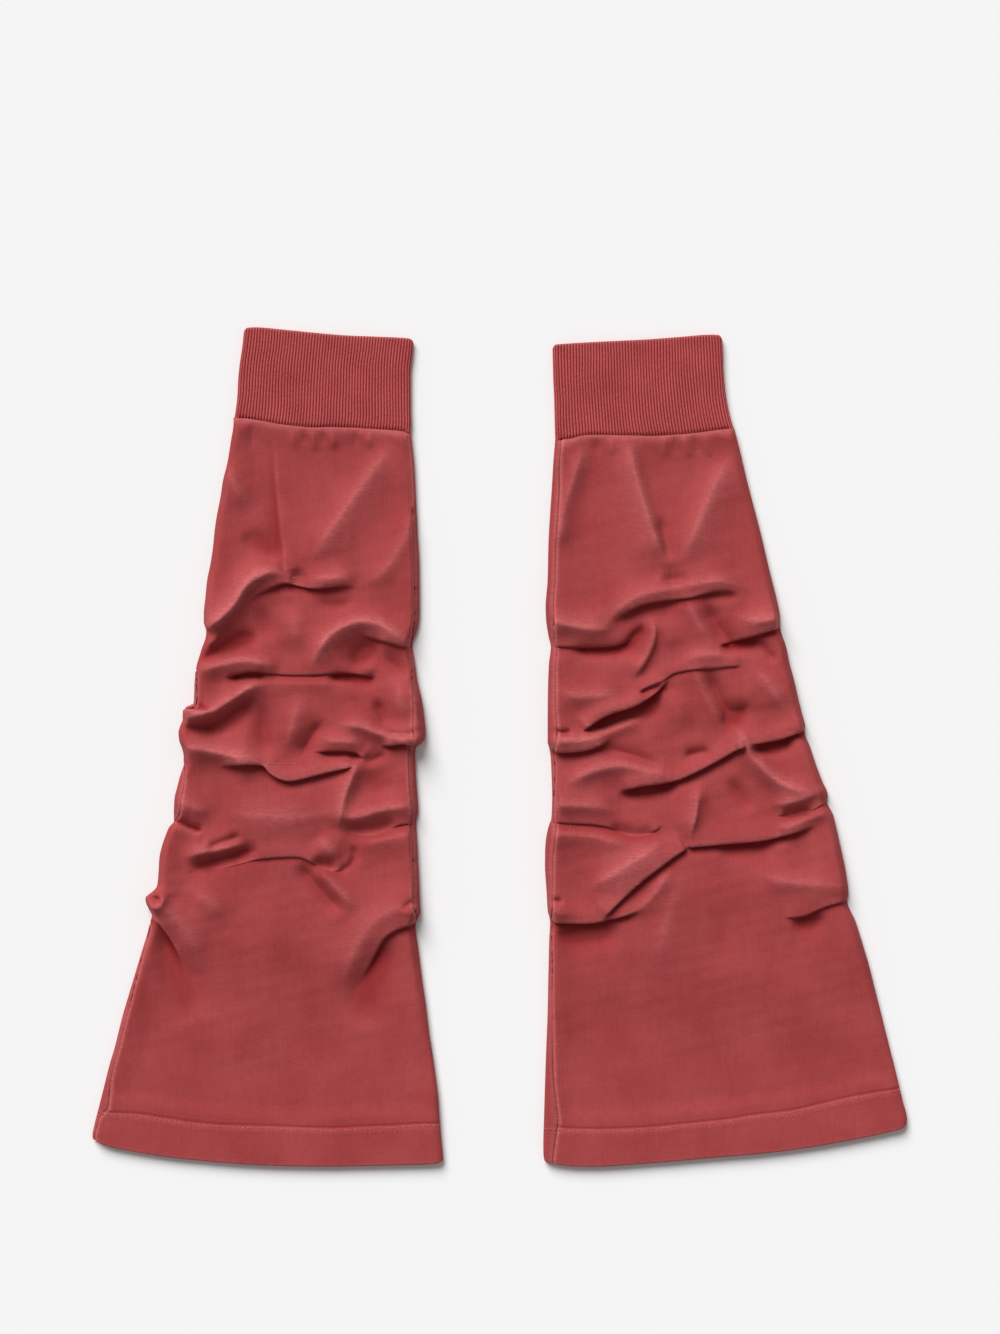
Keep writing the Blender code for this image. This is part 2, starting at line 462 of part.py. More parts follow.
def ring_section(width, wall_in, spans, deep):
    # One section round a flattened ring. For each point: its distance from the left edge, its height
    # and its share of the way round. Every second point along the top stands proud by a rib's depth.
    radius = CUFF_HIGH / 2
    reach = radius - wall_in
    top_share = 0.5 - CUFF_BEND_SHARE * (len(CUFF_BENDS) + 1)
    section = []
    for n in range(spans + 1):
        inside = radius + (width - 2 * radius) * n / spans
        section.append((inside, radius + reach + deep * (n % 2), top_share * n / spans))
    for n, degrees in enumerate(CUFF_BENDS):
        bend, climb = np.cos(np.radians(degrees)), np.sin(np.radians(degrees))
        share = top_share + CUFF_BEND_SHARE * (n + 1)
        section.append((width - radius + reach * bend, radius + reach * climb, share))
    section.append((width - radius, radius - reach, 0.5))
    for across_part in reversed(FLOOR_COLUMNS):
        section.append((width * across_part, radius - reach, 0.5 + top_share * (1 - across_part)))
    section.append((radius, radius - reach, 0.5 + top_share))
    for n, degrees in enumerate(reversed(CUFF_BENDS)):
        bend, climb = np.cos(np.radians(degrees)), np.sin(np.radians(degrees))
        share = 0.5 + top_share + CUFF_BEND_SHARE * (n + 1)
        section.append((radius - reach * bend, radius + reach * climb, share))
    return section


def join_loops(mesh, one, other):
    # Faces between two closed loops of points, each given with its share of the way round.
    i = 0
    j = 0
    ends = [(point, share) for point, share in one] + [(one[0][0], 1.0)]
    others = [(point, share) for point, share in other] + [(other[0][0], 1.0)]
    while i < len(one) or j < len(other):
        if j == len(other) or (i < len(one) and ends[i + 1][1] <= others[j + 1][1]):
            mesh.faces.new((ends[i][0], ends[i + 1][0], others[j][0]))
            i += 1
        else:
            mesh.faces.new((ends[i][0], others[j + 1][0], others[j][0]))
            j += 1


def cuff_ring(leg):
    # A flattened ring of rib: ribs on its upper outside, plain inside, a soft fold at its top edge.
    point = cuff_patch(leg)
    length = CUFF_TOPS[leg][0][1] - CUFF_SEAMS[leg][0][1]
    ends = (0.0, 1 - SEAM_GAP / 2 / length)
    levels = ((ends[0], CUFF_ROUND / 2), (CUFF_ROUND / length, 0.0), (0.5, 0.0), (ends[1], 0.0))
    middle_width = point(1.0, 0.5)[0] - point(0.0, 0.5)[0]
    ribs = 2 * round((middle_width - CUFF_HIGH) / RIB_PITCH)
    mesh = bmesh.new()

    def loop(v, wall_in, spans, deep):
        left_x = point(0.0, v)[0]
        width = point(1.0, v)[0] - left_x
        placed = []
        for inside, z, share in ring_section(width, wall_in, spans, deep):
            y = point(min(max(inside / width, 0), 1), v)[1]
            placed.append((mesh.verts.new((MM * (left_x + inside), MM * y, MM * z)), share))
        return placed

    outer = [loop(v, wall_in, ribs, RIB_DEEP * (RIB_FADE if wall_in else 1.0)) for v, wall_in in levels]
    inner_ends = (ends[0] + CUFF_BEVEL / length, ends[1] - CUFF_BEVEL / length)
    inner = [loop(v, CUFF_WALL, CUFF_PLAIN_SPANS, 0.0) for v in inner_ends]
    for upper, lower in list(zip(outer, outer[1:])) + [inner]:
        for k in range(len(upper)):
            mesh.faces.new((upper[k - 1][0], upper[k][0], lower[k][0], lower[k - 1][0]))
    join_loops(mesh, outer[0], inner[0])
    join_loops(mesh, outer[-1], inner[1])
    return finished("cuff_" + leg, mesh)


def cloth(name, colour, roughness):
    material = bpy.data.materials.new(name)
    material.use_nodes = True
    shader = material.node_tree.nodes["Principled BSDF"]
    shader.inputs["Base Color"].default_value = (*colour, 1.0)
    shader.inputs["Roughness"].default_value = roughness
    shader.inputs["Metallic"].default_value = 0.0
    return material


def main():
    for old in list(bpy.data.objects):
        bpy.data.objects.remove(old)
    collection = bpy.data.collections.new("leg_warmers")
    bpy.context.scene.collection.children.link(collection)
    pair = bpy.data.objects.new("pair", None)
    collection.objects.link(pair)
    jersey_red = (0.345, 0.055, 0.059)
    rib_red = (0.402, 0.070, 0.074)
    pieces = []
    for leg in ("left", "right"):
        panels = ((cuff_ring(leg), rib_red), (front_panel(leg), jersey_red), (back_panel(leg), jersey_red))
        for data, colour in panels:
            data.materials.append(cloth(data.name + "_cloth", colour, 0.9))
            piece = bpy.data.objects.new(data.name, data)
            collection.objects.link(piece)
            piece.parent = pair
            pieces.append(piece)
    corners = np.array([vertex.co for piece in pieces for vertex in piece.data.vertices])
    middle = 0.5 * (corners.min(axis=0) + corners.max(axis=0))
    pair.location = (-middle[0], -middle[1], 0.0)


main()
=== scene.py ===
import math

import bmesh
import bpy
import numpy as np
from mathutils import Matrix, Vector


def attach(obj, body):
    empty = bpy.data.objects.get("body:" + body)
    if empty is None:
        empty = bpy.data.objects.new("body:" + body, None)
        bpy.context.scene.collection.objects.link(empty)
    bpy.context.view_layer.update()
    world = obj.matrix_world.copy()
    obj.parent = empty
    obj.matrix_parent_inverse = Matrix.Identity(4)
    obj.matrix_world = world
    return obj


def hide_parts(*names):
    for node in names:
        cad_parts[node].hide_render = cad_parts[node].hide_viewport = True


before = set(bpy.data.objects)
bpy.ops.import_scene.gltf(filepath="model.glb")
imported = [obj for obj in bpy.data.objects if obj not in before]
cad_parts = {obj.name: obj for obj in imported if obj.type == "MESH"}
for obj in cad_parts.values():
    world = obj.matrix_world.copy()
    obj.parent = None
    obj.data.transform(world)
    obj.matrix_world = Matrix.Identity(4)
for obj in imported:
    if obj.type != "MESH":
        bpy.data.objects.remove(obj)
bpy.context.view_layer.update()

mm = 0.001
middle = (1.5, 0.4123)          # the tables' x and y at the part's origin

# Both legs: what the cloth is and how it lies.
cloth = {
    "jersey": 1.3,              # thickness of the heavy jersey
    "hemWall": 2.5,             # jersey turned up once
    "restGap": 0.4,             # air between the two layers where they lie on each other
    "slack": 4.7,               # how high the loose cloth between the tucks stands
    "slackTop": (178.0, 160.0),  # y where it starts, in the middle of a leg and at its sides
    "slackEnd": (-204.0, -198.0),
    "slackFade": (75.0, 105.0),  # how gently it starts and ends
    "bulge": 2.8,               # puffs up beside the seam of the cuff
    "bulgeFall": 11.0,
    "edgeFall": 10.0,           # how far the roundness of a folded edge reaches in
    "fullness": 1.25,           # all ridges and troughs of the tucks times this
    "crisp": 1.45,              # 2 is a round ridge, and less than 2 a creased one
    "soften": 1.0,              # how softly it comes to rest on the layer below
    "lipNose": 1.6,             # roundness of the edge of a fold that hangs over
    "lipFoot": 1.1,
    "seamDip": 0.55,            # side seams are pulled in this far
    "hemDip": 0.4,              # and so are the rows of hem stitching
    "seamRoll": 2.2,            # the round end of a leg over the seam of its cuff
    "underCrease": 0.16,        # creases under the lower layer, as a share of the tucks over them
    "relief": 0.12,             # soft unevenness of worn and washed cloth
    "foldTop": 116,             # y between which the tucks are
    "foldEnd": -150,
    "rowStep": 0.95,            # mesh spacing through the tucks
    "openStep": 1.7,            # and where the cloth is flat
    "stitchStep": 0.6,          # and at the stitching of the hem
}

legs = {
    "left": {
        "leftEdge": (
            (-158, 197.4), (-158.2, 193), (-159.5, 185), (-162, 170), (-164.5, 160), (-166, 150),
            (-168, 140), (-169.5, 130), (-170.5, 120), (-172, 110), (-174, 100), (-175, 90), (-176, 80),
            (-176, 75), (-174.6, 70), (-175, 66), (-177, 60), (-178.5, 55), (-180, 50), (-181, 45),
            (-181.5, 38), (-182, 27), (-183, 25.4), (-187.5, 24), (-188.5, 21), (-188.5, 17),
            (-190, 13), (-191, 9), (-190.5, 4), (-189, 0), (-188, -5), (-188, -9), (-190.5, -18),
            (-192, -24), (-193.5, -30), (-194, -40), (-194, -43.5), (-197, -48), (-199, -53),
            (-201, -59), (-202.5, -66), (-203, -74), (-204, -83), (-206.5, -86), (-210.8, -90),
            (-210.3, -93), (-208.5, -97), (-207, -100.5), (-208, -104), (-210, -112), (-212.5, -120),
            (-215.5, -130), (-218.5, -140), (-221.5, -150), (-224.5, -160), (-227, -170),
            (-229.5, -180), (-232.5, -190), (-235, -200), (-237.5, -210), (-240, -220), (-242, -228),
            (-242.7, -232), (-242.4, -234.5),
        ),
        "rightEdge": (
            (-52, 188.4), (-51, 180), (-50, 170), (-49, 150), (-48, 130), (-47, 110), (-46.8, 90),
            (-46.8, 80), (-47.5, 73), (-49, 68), (-51, 61), (-50, 55), (-48, 40), (-46.5, 34),
            (-45, 27), (-44, 20), (-43, 8), (-44, 4), (-46, 2.2), (-49, 0), (-49.3, -5), (-48.5, -22),
            (-47.5, -38), (-48.7, -44.3), (-48, -60), (-47, -80), (-46.5, -93), (-46, -98),
            (-48.3, -104), (-49, -107), (-47.5, -120), (-45, -140), (-43.5, -150), (-41, -170),
            (-38, -190), (-35.5, -210), (-34.5, -225), (-32.4, -247.2),
        ),
        # y, how far inside the edge the side seam runs (below zero where it is out of sight)
        "leftSeam": (
            (198, -0.3), (48, -0.3), (45, 0.8), (40, 1.4), (28, 1.9), (25, 1.2), (22.5, -0.3),
            (-8, -0.3), (-13, 1.6), (-18, 3.3), (-25, 4.2), (-33, 4.7), (-39, 3.6), (-43, 0.6),
            (-46, -0.3), (-102, -0.3), (-108, 0.5), (-120, 0.6), (-140, 1.5), (-160, 2.4), (-180, 2.5),
            (-195, 2.8), (-206, 4.3), (-213, 5.2), (-217, 3.0), (-222, 1.6), (-236, 1.4),
        ),
        "rightSeam": (
            (189, 2.0), (175, 2.0), (155, 1.9), (135, 2.2), (115, 2.5), (88, 2.2), (72, 2.2), (62, 0.5),
            (55, 0.8), (35, 3.5), (20, 6.0), (12, 7.2), (4, 5.5), (-2, 3.3), (-20, 3.5), (-44, 3.0),
            (-52, 2.2), (-70, 2.5), (-88, 3.3), (-97, 2.5), (-103, 0.5), (-106, -0.3), (-249, -0.3),
        ),
        # y, how high the folded edge stands
        "leftHigh": (
            (196, 6.2), (170, 5.6), (130, 5.4), (90, 6.0), (76, 5.6), (69, 4.0), (61, 5.4), (48, 6.4),
            (36, 6.6), (27, 6.0), (22, 8.0), (9, 8.2), (-6, 6.4), (-20, 6.0), (-33, 5.8), (-43, 4.0),
            (-52, 6.2), (-68, 6.8), (-82, 6.4), (-90, 9.4), (-97, 7.6), (-102, 5.4), (-120, 5.2),
            (-205, 5.4), (-218, 6.2), (-235, 5.8),
        ),
        "rightHigh": (
            (188, 6.2), (170, 5.6), (130, 5.4), (90, 5.8), (73, 5.6), (61, 4.2), (50, 6.0), (34, 7.0),
            (20, 7.6), (8, 9.0), (3.5, 7.4), (-1, 4.8), (-22, 5.6), (-38, 5.6), (-44.5, 4.0),
            (-56, 6.0), (-80, 7.0), (-97, 8.8), (-102, 6.8), (-107, 5.0), (-130, 5.2), (-190, 5.4),
            (-218, 6.2), (-247, 5.8),
        ),
        "cuffSeam": (
            (-158, 197.4), (-150, 196.8), (-140, 195.3), (-130, 193.6), (-120, 192.4), (-110, 191.7),
            (-100, 191.9), (-90, 191.6), (-70, 190.4), (-60, 189.6), (-52, 188.4),
        ),
        "cuffTop": (
            (-152, 249.6), (-150.4, 251.3), (-145, 251.7), (-130, 250.5), (-110, 248.5), (-90, 246.8),
            (-70, 246), (-53, 245), (-50.2, 243.6),
        ),
        "cuffLeft": (
            (-152, 249.6), (-153, 240), (-154.5, 230), (-155.5, 220), (-156, 210), (-157, 201),
            (-157.6, 197.4),
        ),
        "cuffRight": ((-50.2, 243.6), (-51, 235), (-52, 225), (-52, 205), (-51.6, 195), (-52, 188.4)),
        "hem": (
            (-242.4, -234.5), (-240, -235.8), (-235, -238), (-230, -239.5), (-220, -241.5),
            (-200, -244.8), (-180, -247), (-160, -248.8), (-140, -250), (-120, -250.6), (-100, -250.8),
            (-80, -250.4), (-60, -250), (-42, -249.5), (-36, -248.8), (-32.4, -247.2),
        ),
        "hemStitch": (
            (-242, -217.5), (-232, -219), (-215, -220), (-205, -221.5), (-195, -223), (-185, -224.5),
            (-165, -226.5), (-145, -227), (-130, -227.5), (-100, -228.5), (-80, -227.5), (-60, -226.8),
            (-40, -225.5), (-33, -225.4),
        ),
        # height (a trough is below zero), reach to the left and to the right of the run, the run's points
        "swells": (
            (-2.2, 12, 3, ((-137, 160), (-135, 145), (-133, 130), (-130, 110))),
            (3.6, 9, 9, ((-166, 172), (-156, 155), (-148, 140))),
            (-4.8, 5, 6, ((-154, 128), (-146, 124), (-138, 119), (-129, 112))),
            (5.0, 14, 7, ((-60, 184), (-74, 166), (-91, 142), (-105, 121), (-112, 108))),
            (3.4, 8, 8, ((-46, 148), (-57, 122), (-69, 104), (-84, 98))),
            (-3.6, 4.5, 4.5, ((-125, 103.5), (-118.5, 102.3), (-112, 103.5))),
            (8.2, 7.5, 5, (
                (-180, 66), (-166, 76), (-157, 85), (-150, 96), (-142, 102.5), (-133, 105), (-125, 103))),
            (3.6, 7, 4, ((-114, 101), (-104, 100.5), (-93, 101), (-84, 98))),
            (-2.2, 4.5, 6, ((-112, 90), (-103, 86), (-93, 85.6), (-82, 89))),
            (-3.0, 7, 8, ((-146, 86), (-139, 76), (-134, 62))),
            (3.0, 10, 10, ((-122, 88), (-121, 72), (-120, 56))),
            (-5.0, 1.9, 1.9, ((-177, 69), (-172, 68.6), (-167.5, 68.8))),
            (1.6, 1.8, 2, ((-168, 71), (-167, 67), (-170, 63.4), (-175, 61))),
            (-6.0, 5, 5, ((-182, 50), (-167, 57.4), (-155, 63), (-142, 68))),
            (5.4, 6, 6, ((-182, 45), (-164, 50), (-150, 52), (-137, 49.5), (-130, 46.5))),
            (-4.6, 2.2, 3.4, ((-162, 42), (-152, 42.6), (-144, 43.2), (-137, 43.6))),
            (-5.4, 2.6, 4.4, ((-102, 43), (-91, 42), (-80, 41), (-71, 41))),
            (2.0, 2.6, 9, ((-157, 37), (-120, 38.4), (-78, 37))),
            (6.4, 6, 9, (
                (-112, 43), (-108, 55), (-99, 67.5), (-86, 74.5), (-71, 74), (-56, 64), (-46, 61))),
            (-6.0, 8, 8, ((-92, 46), (-84, 52), (-75, 60), (-66, 63))),
            (1.8, 3, 3, ((-84, 51), (-79, 48), (-71, 46.6))),
            (-3.0, 7, 5, ((-72, 56), (-62, 50), (-54, 40))),
            (3.4, 9, 8, ((-62, 44), (-58, 28), (-57, 14))),
            (6.6, 6, 6, ((-192, 17.5), (-174, 20), (-161, 27), (-149, 35), (-137, 41))),
            (-6.4, 6, 6, ((-193, 12.5), (-170, 12), (-156, 20.5), (-143, 30))),
            (-3.4, 2.2, 1.6, ((-183, 25.4), (-178, 24.6), (-173, 24.2))),
            (6.0, 9, 6, ((-193, 1), (-176, -1), (-161, -4), (-149, -6.5), (-138, -7))),
            (-3.4, 8, 6, ((-141, 28), (-141, 12), (-139, 0), (-134, -9))),
            (3.6, 9, 7, ((-117, 34), (-121, 18), (-125, 4), (-127, -6))),
            (-3.4, 4, 5, ((-103, 18), (-110, 8), (-115, 0), (-119, -8))),
            (-3.4, 2.2, 3.0, ((-107, -3.6), (-97, -4.2), (-88, -4.8), (-80, -8))),
            (3.6, 6, 4, ((-108, 6), (-98, 4), (-88, 3.4), (-79, 0))),
            (-2.2, 3, 3, ((-81, -9.4), (-74, -7), (-65, -3))),
            (5.6, 4, 7, ((-82, -4), (-87, -18), (-92, -32), (-95, -50))),
            (5.0, 7, 5, ((-98, 14), (-83, 13), (-72, 9), (-58, 6.4), (-43, 6.6))),
            (-2.6, 1.7, 1.7, ((-69, 11.4), (-63, 9), (-56, 8.4), (-50, 9.2), (-43, 11))),
            (-3.4, 4, 4, ((-73, 31), (-69, 19), (-66, 9))),
            (-3.2, 8, 7, ((-80, -12), (-72, -22), (-66, -34))),
            (-3.6, 2.6, 2.2, ((-195, -42.6), (-187, -45.8), (-181, -48.8), (-175, -49.7))),
            (3.8, 9, 9, ((-196, -30), (-180, -36), (-168, -42))),
            (4.6, 17, 16, ((-172, -36), (-142, -41), (-116, -41), (-92, -38))),
            (-6.4, 4.2, 3.2, ((-186, -72.8), (-172, -69.4), (-160, -66), (-150, -63), (-141, -61))),
            (-5.0, 4, 3, ((-111, -66), (-103, -70), (-94, -71.2))),
            (-3.6, 2.6, 3.4, ((-175, -60.6), (-163, -56), (-152, -52))),
            (5.4, 8, 5, ((-190, -66), (-176, -62.4), (-163, -59.6), (-148, -57))),
            (3.6, 9, 8, ((-108, -52), (-101, -60), (-92, -66))),
            (-2.2, 2.4, 2.4, ((-87, -57), (-85.5, -65), (-89, -71), (-98, -74))),
            (-4.0, 4.5, 5, ((-119, -68), (-113, -77), (-104, -87), (-92, -100))),
            (3.4, 4.5, 8, ((-111, -68), (-102, -77), (-93, -87), (-82, -98))),
            (-3.4, 4, 3, ((-92, -49), (-80, -49.4), (-69, -47.6), (-60, -43))),
            (3.0, 3, 9, ((-86, -58), (-69, -55), (-46, -50))),
            (4.4, 8, 5, ((-99, -42), (-83, -41), (-68, -37), (-46, -34))),
            (-5.5, 1.8, 1.8, ((-209, -88.4), (-204, -90.2), (-200, -91.8))),
            (2.2, 1.9, 2, ((-210, -92), (-205, -95), (-200.5, -94), (-199, -90), (-202, -87.2))),
            (3.2, 9, 15, ((-212, -88), (-200, -95), (-190, -104), (-182, -117), (-177, -136))),
            (-4.8, 10, 8, ((-207, -104), (-200, -115), (-194, -129), (-189, -146), (-185, -166))),
            (3.0, 12, 12, ((-188, -82), (-172, -92), (-158, -104))),
            (-2.2, 1.7, 1.7, ((-57, -97), (-52, -92.5), (-45, -90.6))),
            (3.0, 17, 9, ((-94, -150), (-88, -128), (-78, -109), (-64, -97), (-44, -91))),
            (-4.8, 9, 11, ((-85, -168), (-80, -151), (-74, -137), (-67, -125), (-58, -114))),
            (1.6, 18, 18, ((-136, -78), (-134, -105), (-132, -140))),
            (1.1, 14, 14, ((-150, -150), (-156, -180), (-160, -206))),
            (-1.0, 16, 12, ((-112, -150), (-108, -180), (-106, -206))),
            (0.9, 2.4, 3.0, ((-121, 191), (-122, 185), (-121, 177))),
            (-0.9, 2.2, 2.2, ((-115.5, 191), (-115.5, 185.5), (-114, 180))),
            (0.9, 2.4, 2.4, ((-110, 191), (-110, 185), (-109, 176))),
            (-0.9, 2.2, 2.2, ((-104.6, 191), (-104, 185), (-102, 180))),
            (1.4, 3, 3, ((-99, 191), (-98.5, 185), (-97, 177))),
            (-0.8, 2.4, 2.4, ((-85, 190.5), (-85, 184), (-86, 178))),
            (1.2, 3, 3, ((-77, 190), (-76.5, 184), (-77, 178))),
            (-0.8, 3.0, 3.0, ((-148, 196), (-147, 187), (-148, 178))),
        ),
        # height, reach up the fold, depth and reach of the trough below, how far it hangs over, how
        # gently it starts and ends, and the run of its edge, with the fold on the left of the run
        "lips": (
            (1.0, 9, 0.9, 8, 0.3, 26, 3, (
                (-134.4, 186), (-132.6, 165), (-130.8, 145), (-128.6, 122), (-126.2, 104))),
            (3.0, 8, 0.9, 5, 1.5, 30, 22, (
                (-151, 84), (-143, 91), (-134, 95.8), (-126.5, 98), (-118.5, 96.3), (-109.5, 94.8),
                (-100.5, 95.6), (-91, 96.4), (-80, 94))),
            (1.1, 4, 0.6, 1.6, 0.9, 0, 4, ((-177, 71.8), (-172, 71.8), (-168, 70.4))),
            (1.4, 7, 0.6, 1.6, 1.1, 8, 8, (
                (-164, 41), (-157, 43.4), (-148, 45.4), (-138, 44.6), (-128, 43.6), (-118, 43.3),
                (-108, 43.6), (-100, 44.2), (-90, 44.6), (-80, 43.2), (-72, 42))),
            (1.2, 6, 0.6, 1.6, 1.0, 7, 0, (
                (-81, 67), (-73.5, 65), (-64.5, 62.7), (-57, 60.7), (-49, 60.6))),
            (1.7, 4, 0.6, 1.8, 1.0, 3, 0, ((-171, 21.6), (-176, 22.3), (-182, 23), (-190, 23.4))),
            (3.0, 4.2, 2, 2.2, 1.4, 6, 0, ((-70, 1), (-63, 1.2), (-57, 2.2), (-50, 1.6), (-42, 3))),
            (1.5, 6, 0.6, 2.0, 1.2, 6, 4, (
                (-111, -3), (-104, -2.4), (-97, -2), (-90, -2), (-84, -3.4), (-79, -8))),
            (4.1, 6, 1.5, 4.5, 2.0, 18, 6, (
                (-168, -12), (-158, -11), (-148, -10.3), (-140, -11.2), (-136.8, -14.8),
                (-130.5, -18.8), (-123, -20.2), (-112.5, -18), (-100.5, -15), (-84, -11.2))),
            (1.4, 4, 0.6, 3.0, 1.0, 3, 0, ((-175.5, -50.4), (-181, -50), (-187, -47.2), (-196, -43))),
            (1.3, 7, 0.6, 1.6, 1.0, 8, 0, (
                (-91, -51), (-85, -52.2), (-78, -52.6), (-70.5, -51), (-64.5, -48.8), (-58, -46),
                (-47, -44.6))),
            (1.3, 6, 0.6, 1.8, 1.1, 8, 6, (
                (-188, -74.6), (-176, -73.3), (-165, -71.8), (-155, -69.8), (-146, -67.3),
                (-135, -65.8), (-122, -65.2), (-116, -66), (-110, -69), (-104, -72.3), (-97, -73.6),
                (-90, -72.4))),
            (2.4, 15, 0.8, 7, 1.1, 0, 24, (
                (-209, -100.2), (-203, -104), (-199.5, -108), (-196, -113.5), (-193, -119),
                (-190, -126), (-187.5, -132), (-186, -140))),
            (2.5, 16, 1, 7, 1.1, 26, 0, (
                (-83, -146), (-79, -136), (-75, -127.5), (-71.5, -120.5), (-67.5, -114),
                (-61.5, -109.4), (-54, -106.4), (-44.5, -103))),
        ),
        "tacks": (((-121.8, 101.6), (-116, 101.8)), ((-136, -9), (-128, -9.6), (-119.4, -9.6))),
        "threads": (),
    },
    "right": {
        "leftEdge": (
            (34.5, 183.8), (33.5, 172), (32.5, 155), (31.5, 140), (30.5, 122), (30, 100), (29.3, 92),
            (28.8, 85), (29, 78), (30, 70), (31.3, 64), (32, 61.2), (30.8, 50), (30.2, 35), (30, 15),
            (30, 3), (31, 0), (31.8, -5), (32.3, -15), (32.7, -30), (32.2, -43), (31, -46), (29, -55),
            (28.5, -62), (28.4, -70), (29.3, -85), (30, -97), (31.5, -104.2), (31, -115), (30.5, -135),
            (30, -160), (29.2, -180), (28.5, -200), (27.9, -220), (27.4, -240), (27.6, -245),
            (28.2, -247.6),
        ),
        "rightEdge": (
            (141.7, 191.2), (145, 179), (148, 166), (151.5, 152), (155.5, 137), (159.5, 121),
            (162, 110), (164.5, 100), (167, 90), (169, 80), (169.6, 71.8), (173, 60), (175, 50),
            (177.5, 41), (180, 30), (182.5, 20), (184.4, 12), (184, 10.3), (187.5, 0), (190, -8),
            (194.5, -20), (198, -29), (197.4, -31.8), (201, -40), (203, -48), (205, -57), (208.7, -75),
            (210.3, -88), (209.6, -91.2), (214.5, -104), (219.5, -120), (222.5, -130), (225, -140),
            (227.5, -150), (230, -160), (235, -180), (240, -200), (242.3, -210), (245.3, -223),
            (245.2, -225.5),
        ),
        "leftSeam": (
            (184, 3.5), (170, 3.6), (150, 4.4), (130, 4.4), (115, 4.2), (95, 4.2), (80, 4.3), (70, 3.5),
            (62, 2.2), (58, 3.3), (42, 3.8), (25, 4.4), (10, 5.5), (3, 4.2), (-1, 2.2), (-4, 1.6),
            (-10, 2.0), (-30, 0.7), (-40, 0.6), (-43, 1.0), (-47, 4.0), (-55, 4.8), (-70, 4.3),
            (-88, 2.9), (-97, 2.2), (-103, 0.8), (-105, 0.8), (-130, 1.9), (-160, 2.5), (-180, 3.8),
            (-200, 5.5), (-212, 7.3), (-222, 8.6), (-228, 7.8), (-235, 7.0), (-248, 5.2),
        ),
        "rightSeam": ((192, -0.3), (60, -0.3), (-60, -0.3), (-227, -0.3)),
        "leftHigh": (
            (184, 6.2), (155, 5.6), (122, 5.4), (100, 5.6), (85, 6.2), (71, 5.6), (61.5, 4.2),
            (50, 6.0), (30, 6.8), (14, 7.6), (4, 8.4), (-1, 6.0), (-6, 5.0), (-30, 5.6), (-43, 4.0),
            (-49, 5.6), (-64, 6.4), (-85, 7.2), (-98, 8.6), (-104, 5.2), (-135, 5.2), (-200, 5.4),
            (-222, 6.2), (-248.5, 5.8),
        ),
        "rightHigh": (
            (190.5, 6.2), (160, 5.6), (121, 5.4), (90, 6.2), (77, 5.6), (71, 4.0), (62, 5.6), (41, 6.8),
            (20, 6.6), (13, 5.8), (9.5, 4.2), (-8, 6.4), (-24, 6.2), (-32, 4.0), (-42, 6.0), (-60, 6.8),
            (-82, 6.4), (-91, 4.2), (-104, 5.4), (-130, 5.2), (-190, 5.4), (-208, 6.2), (-226.5, 5.8),
        ),
        "cuffSeam": (
            (34.5, 183.8), (38, 184.2), (43, 184.7), (47, 185.7), (50, 186.5), (55, 187.1), (60, 187.2),
            (80, 186.8), (90, 186.6), (110, 187.5), (120, 188.5), (130, 189.8), (141.7, 191.2),
        ),
        "cuffTop": (
            (32.8, 239.6), (34.6, 241.3), (40, 241.8), (50, 242.5), (70, 243.5), (90, 244.5),
            (110, 246), (128, 247.3), (132.6, 247), (134.7, 245),
        ),
        "cuffLeft": ((32.8, 239.6), (33.3, 220), (33.8, 210), (34.3, 190), (34.5, 183.8)),
        "cuffRight": (
            (134.7, 245), (134.9, 240), (135.2, 230), (136, 218), (137, 210), (138.5, 202), (140, 196),
            (141.5, 191.2),
        ),
        "hem": (
            (28.2, -247.6), (31, -248.7), (36, -249.6), (48, -250.8), (56, -250.9), (75, -250),
            (95, -248.5), (115, -246.8), (135, -245), (155, -243.4), (175, -241), (195, -238),
            (215, -234.3), (235, -230), (243, -227.6), (245.2, -225.5),
        ),
        "hemStitch": (
            (28, -227.5), (36, -228), (45, -228.7), (60, -229), (80, -228.5), (100, -227), (120, -225),
            (140, -222.8), (150, -221), (175, -218), (195, -213.5), (215, -209), (235, -205.5),
            (242, -204.2),
        ),
        "swells": (
            (3.8, 7, 6, ((53, 184), (46, 162), (40, 143), (37, 116))),
            (5.6, 5, 12, ((76, 188), (80, 174), (86.6, 149), (95, 124), (103, 106))),
            (5.4, 14, 8, ((144, 179), (133, 163), (123, 141), (114, 120), (107, 106))),
            (-3.8, 5, 5, ((97, 102.4), (103, 100.6), (109, 101.2), (115, 103))),
            (-2.6, 4, 5, ((97, 140), (100, 124), (104, 110))),
            (3.6, 10, 5, ((60, 66), (72, 82), (84, 90), (98, 94), (114, 97), (132, 99), (152, 95))),
            (-1.8, 3, 5, ((70, 73.0), (78, 77.4), (86, 81), (96, 83.4), (109, 85))),
            (-1.6, 2.4, 3.2, ((120, 88.8), (128, 91), (136, 90.8), (145, 89))),
            (-5.6, 2.6, 4.4, ((43, 59), (57, 58.4), (66, 58.6), (74, 60), (82, 66), (88, 74))),
            (5.6, 10, 6, ((22, 76), (38, 74), (55, 71), (72, 71))),
            (2.0, 9, 9, ((102, 80), (103, 68), (106, 56))),
            (-3.0, 5, 4, ((88, 77), (85, 64), (80, 50))),
            (2.8, 4, 5, ((93, 80), (92.5, 67), (88, 55), (80, 41))),
            (4.6, 17, 6, ((110, 96), (114, 86), (119, 76), (126, 66), (134, 55))),
            (-6.4, 5, 9, ((124, 92), (128, 80), (133, 71), (140, 64), (150, 60))),
            (5.0, 9, 6, ((140, 80), (150, 76), (160, 76), (176, 80))),
            (-5.0, 2.4, 4.4, ((132, 60), (140, 60.2), (149, 62), (159, 64.4))),
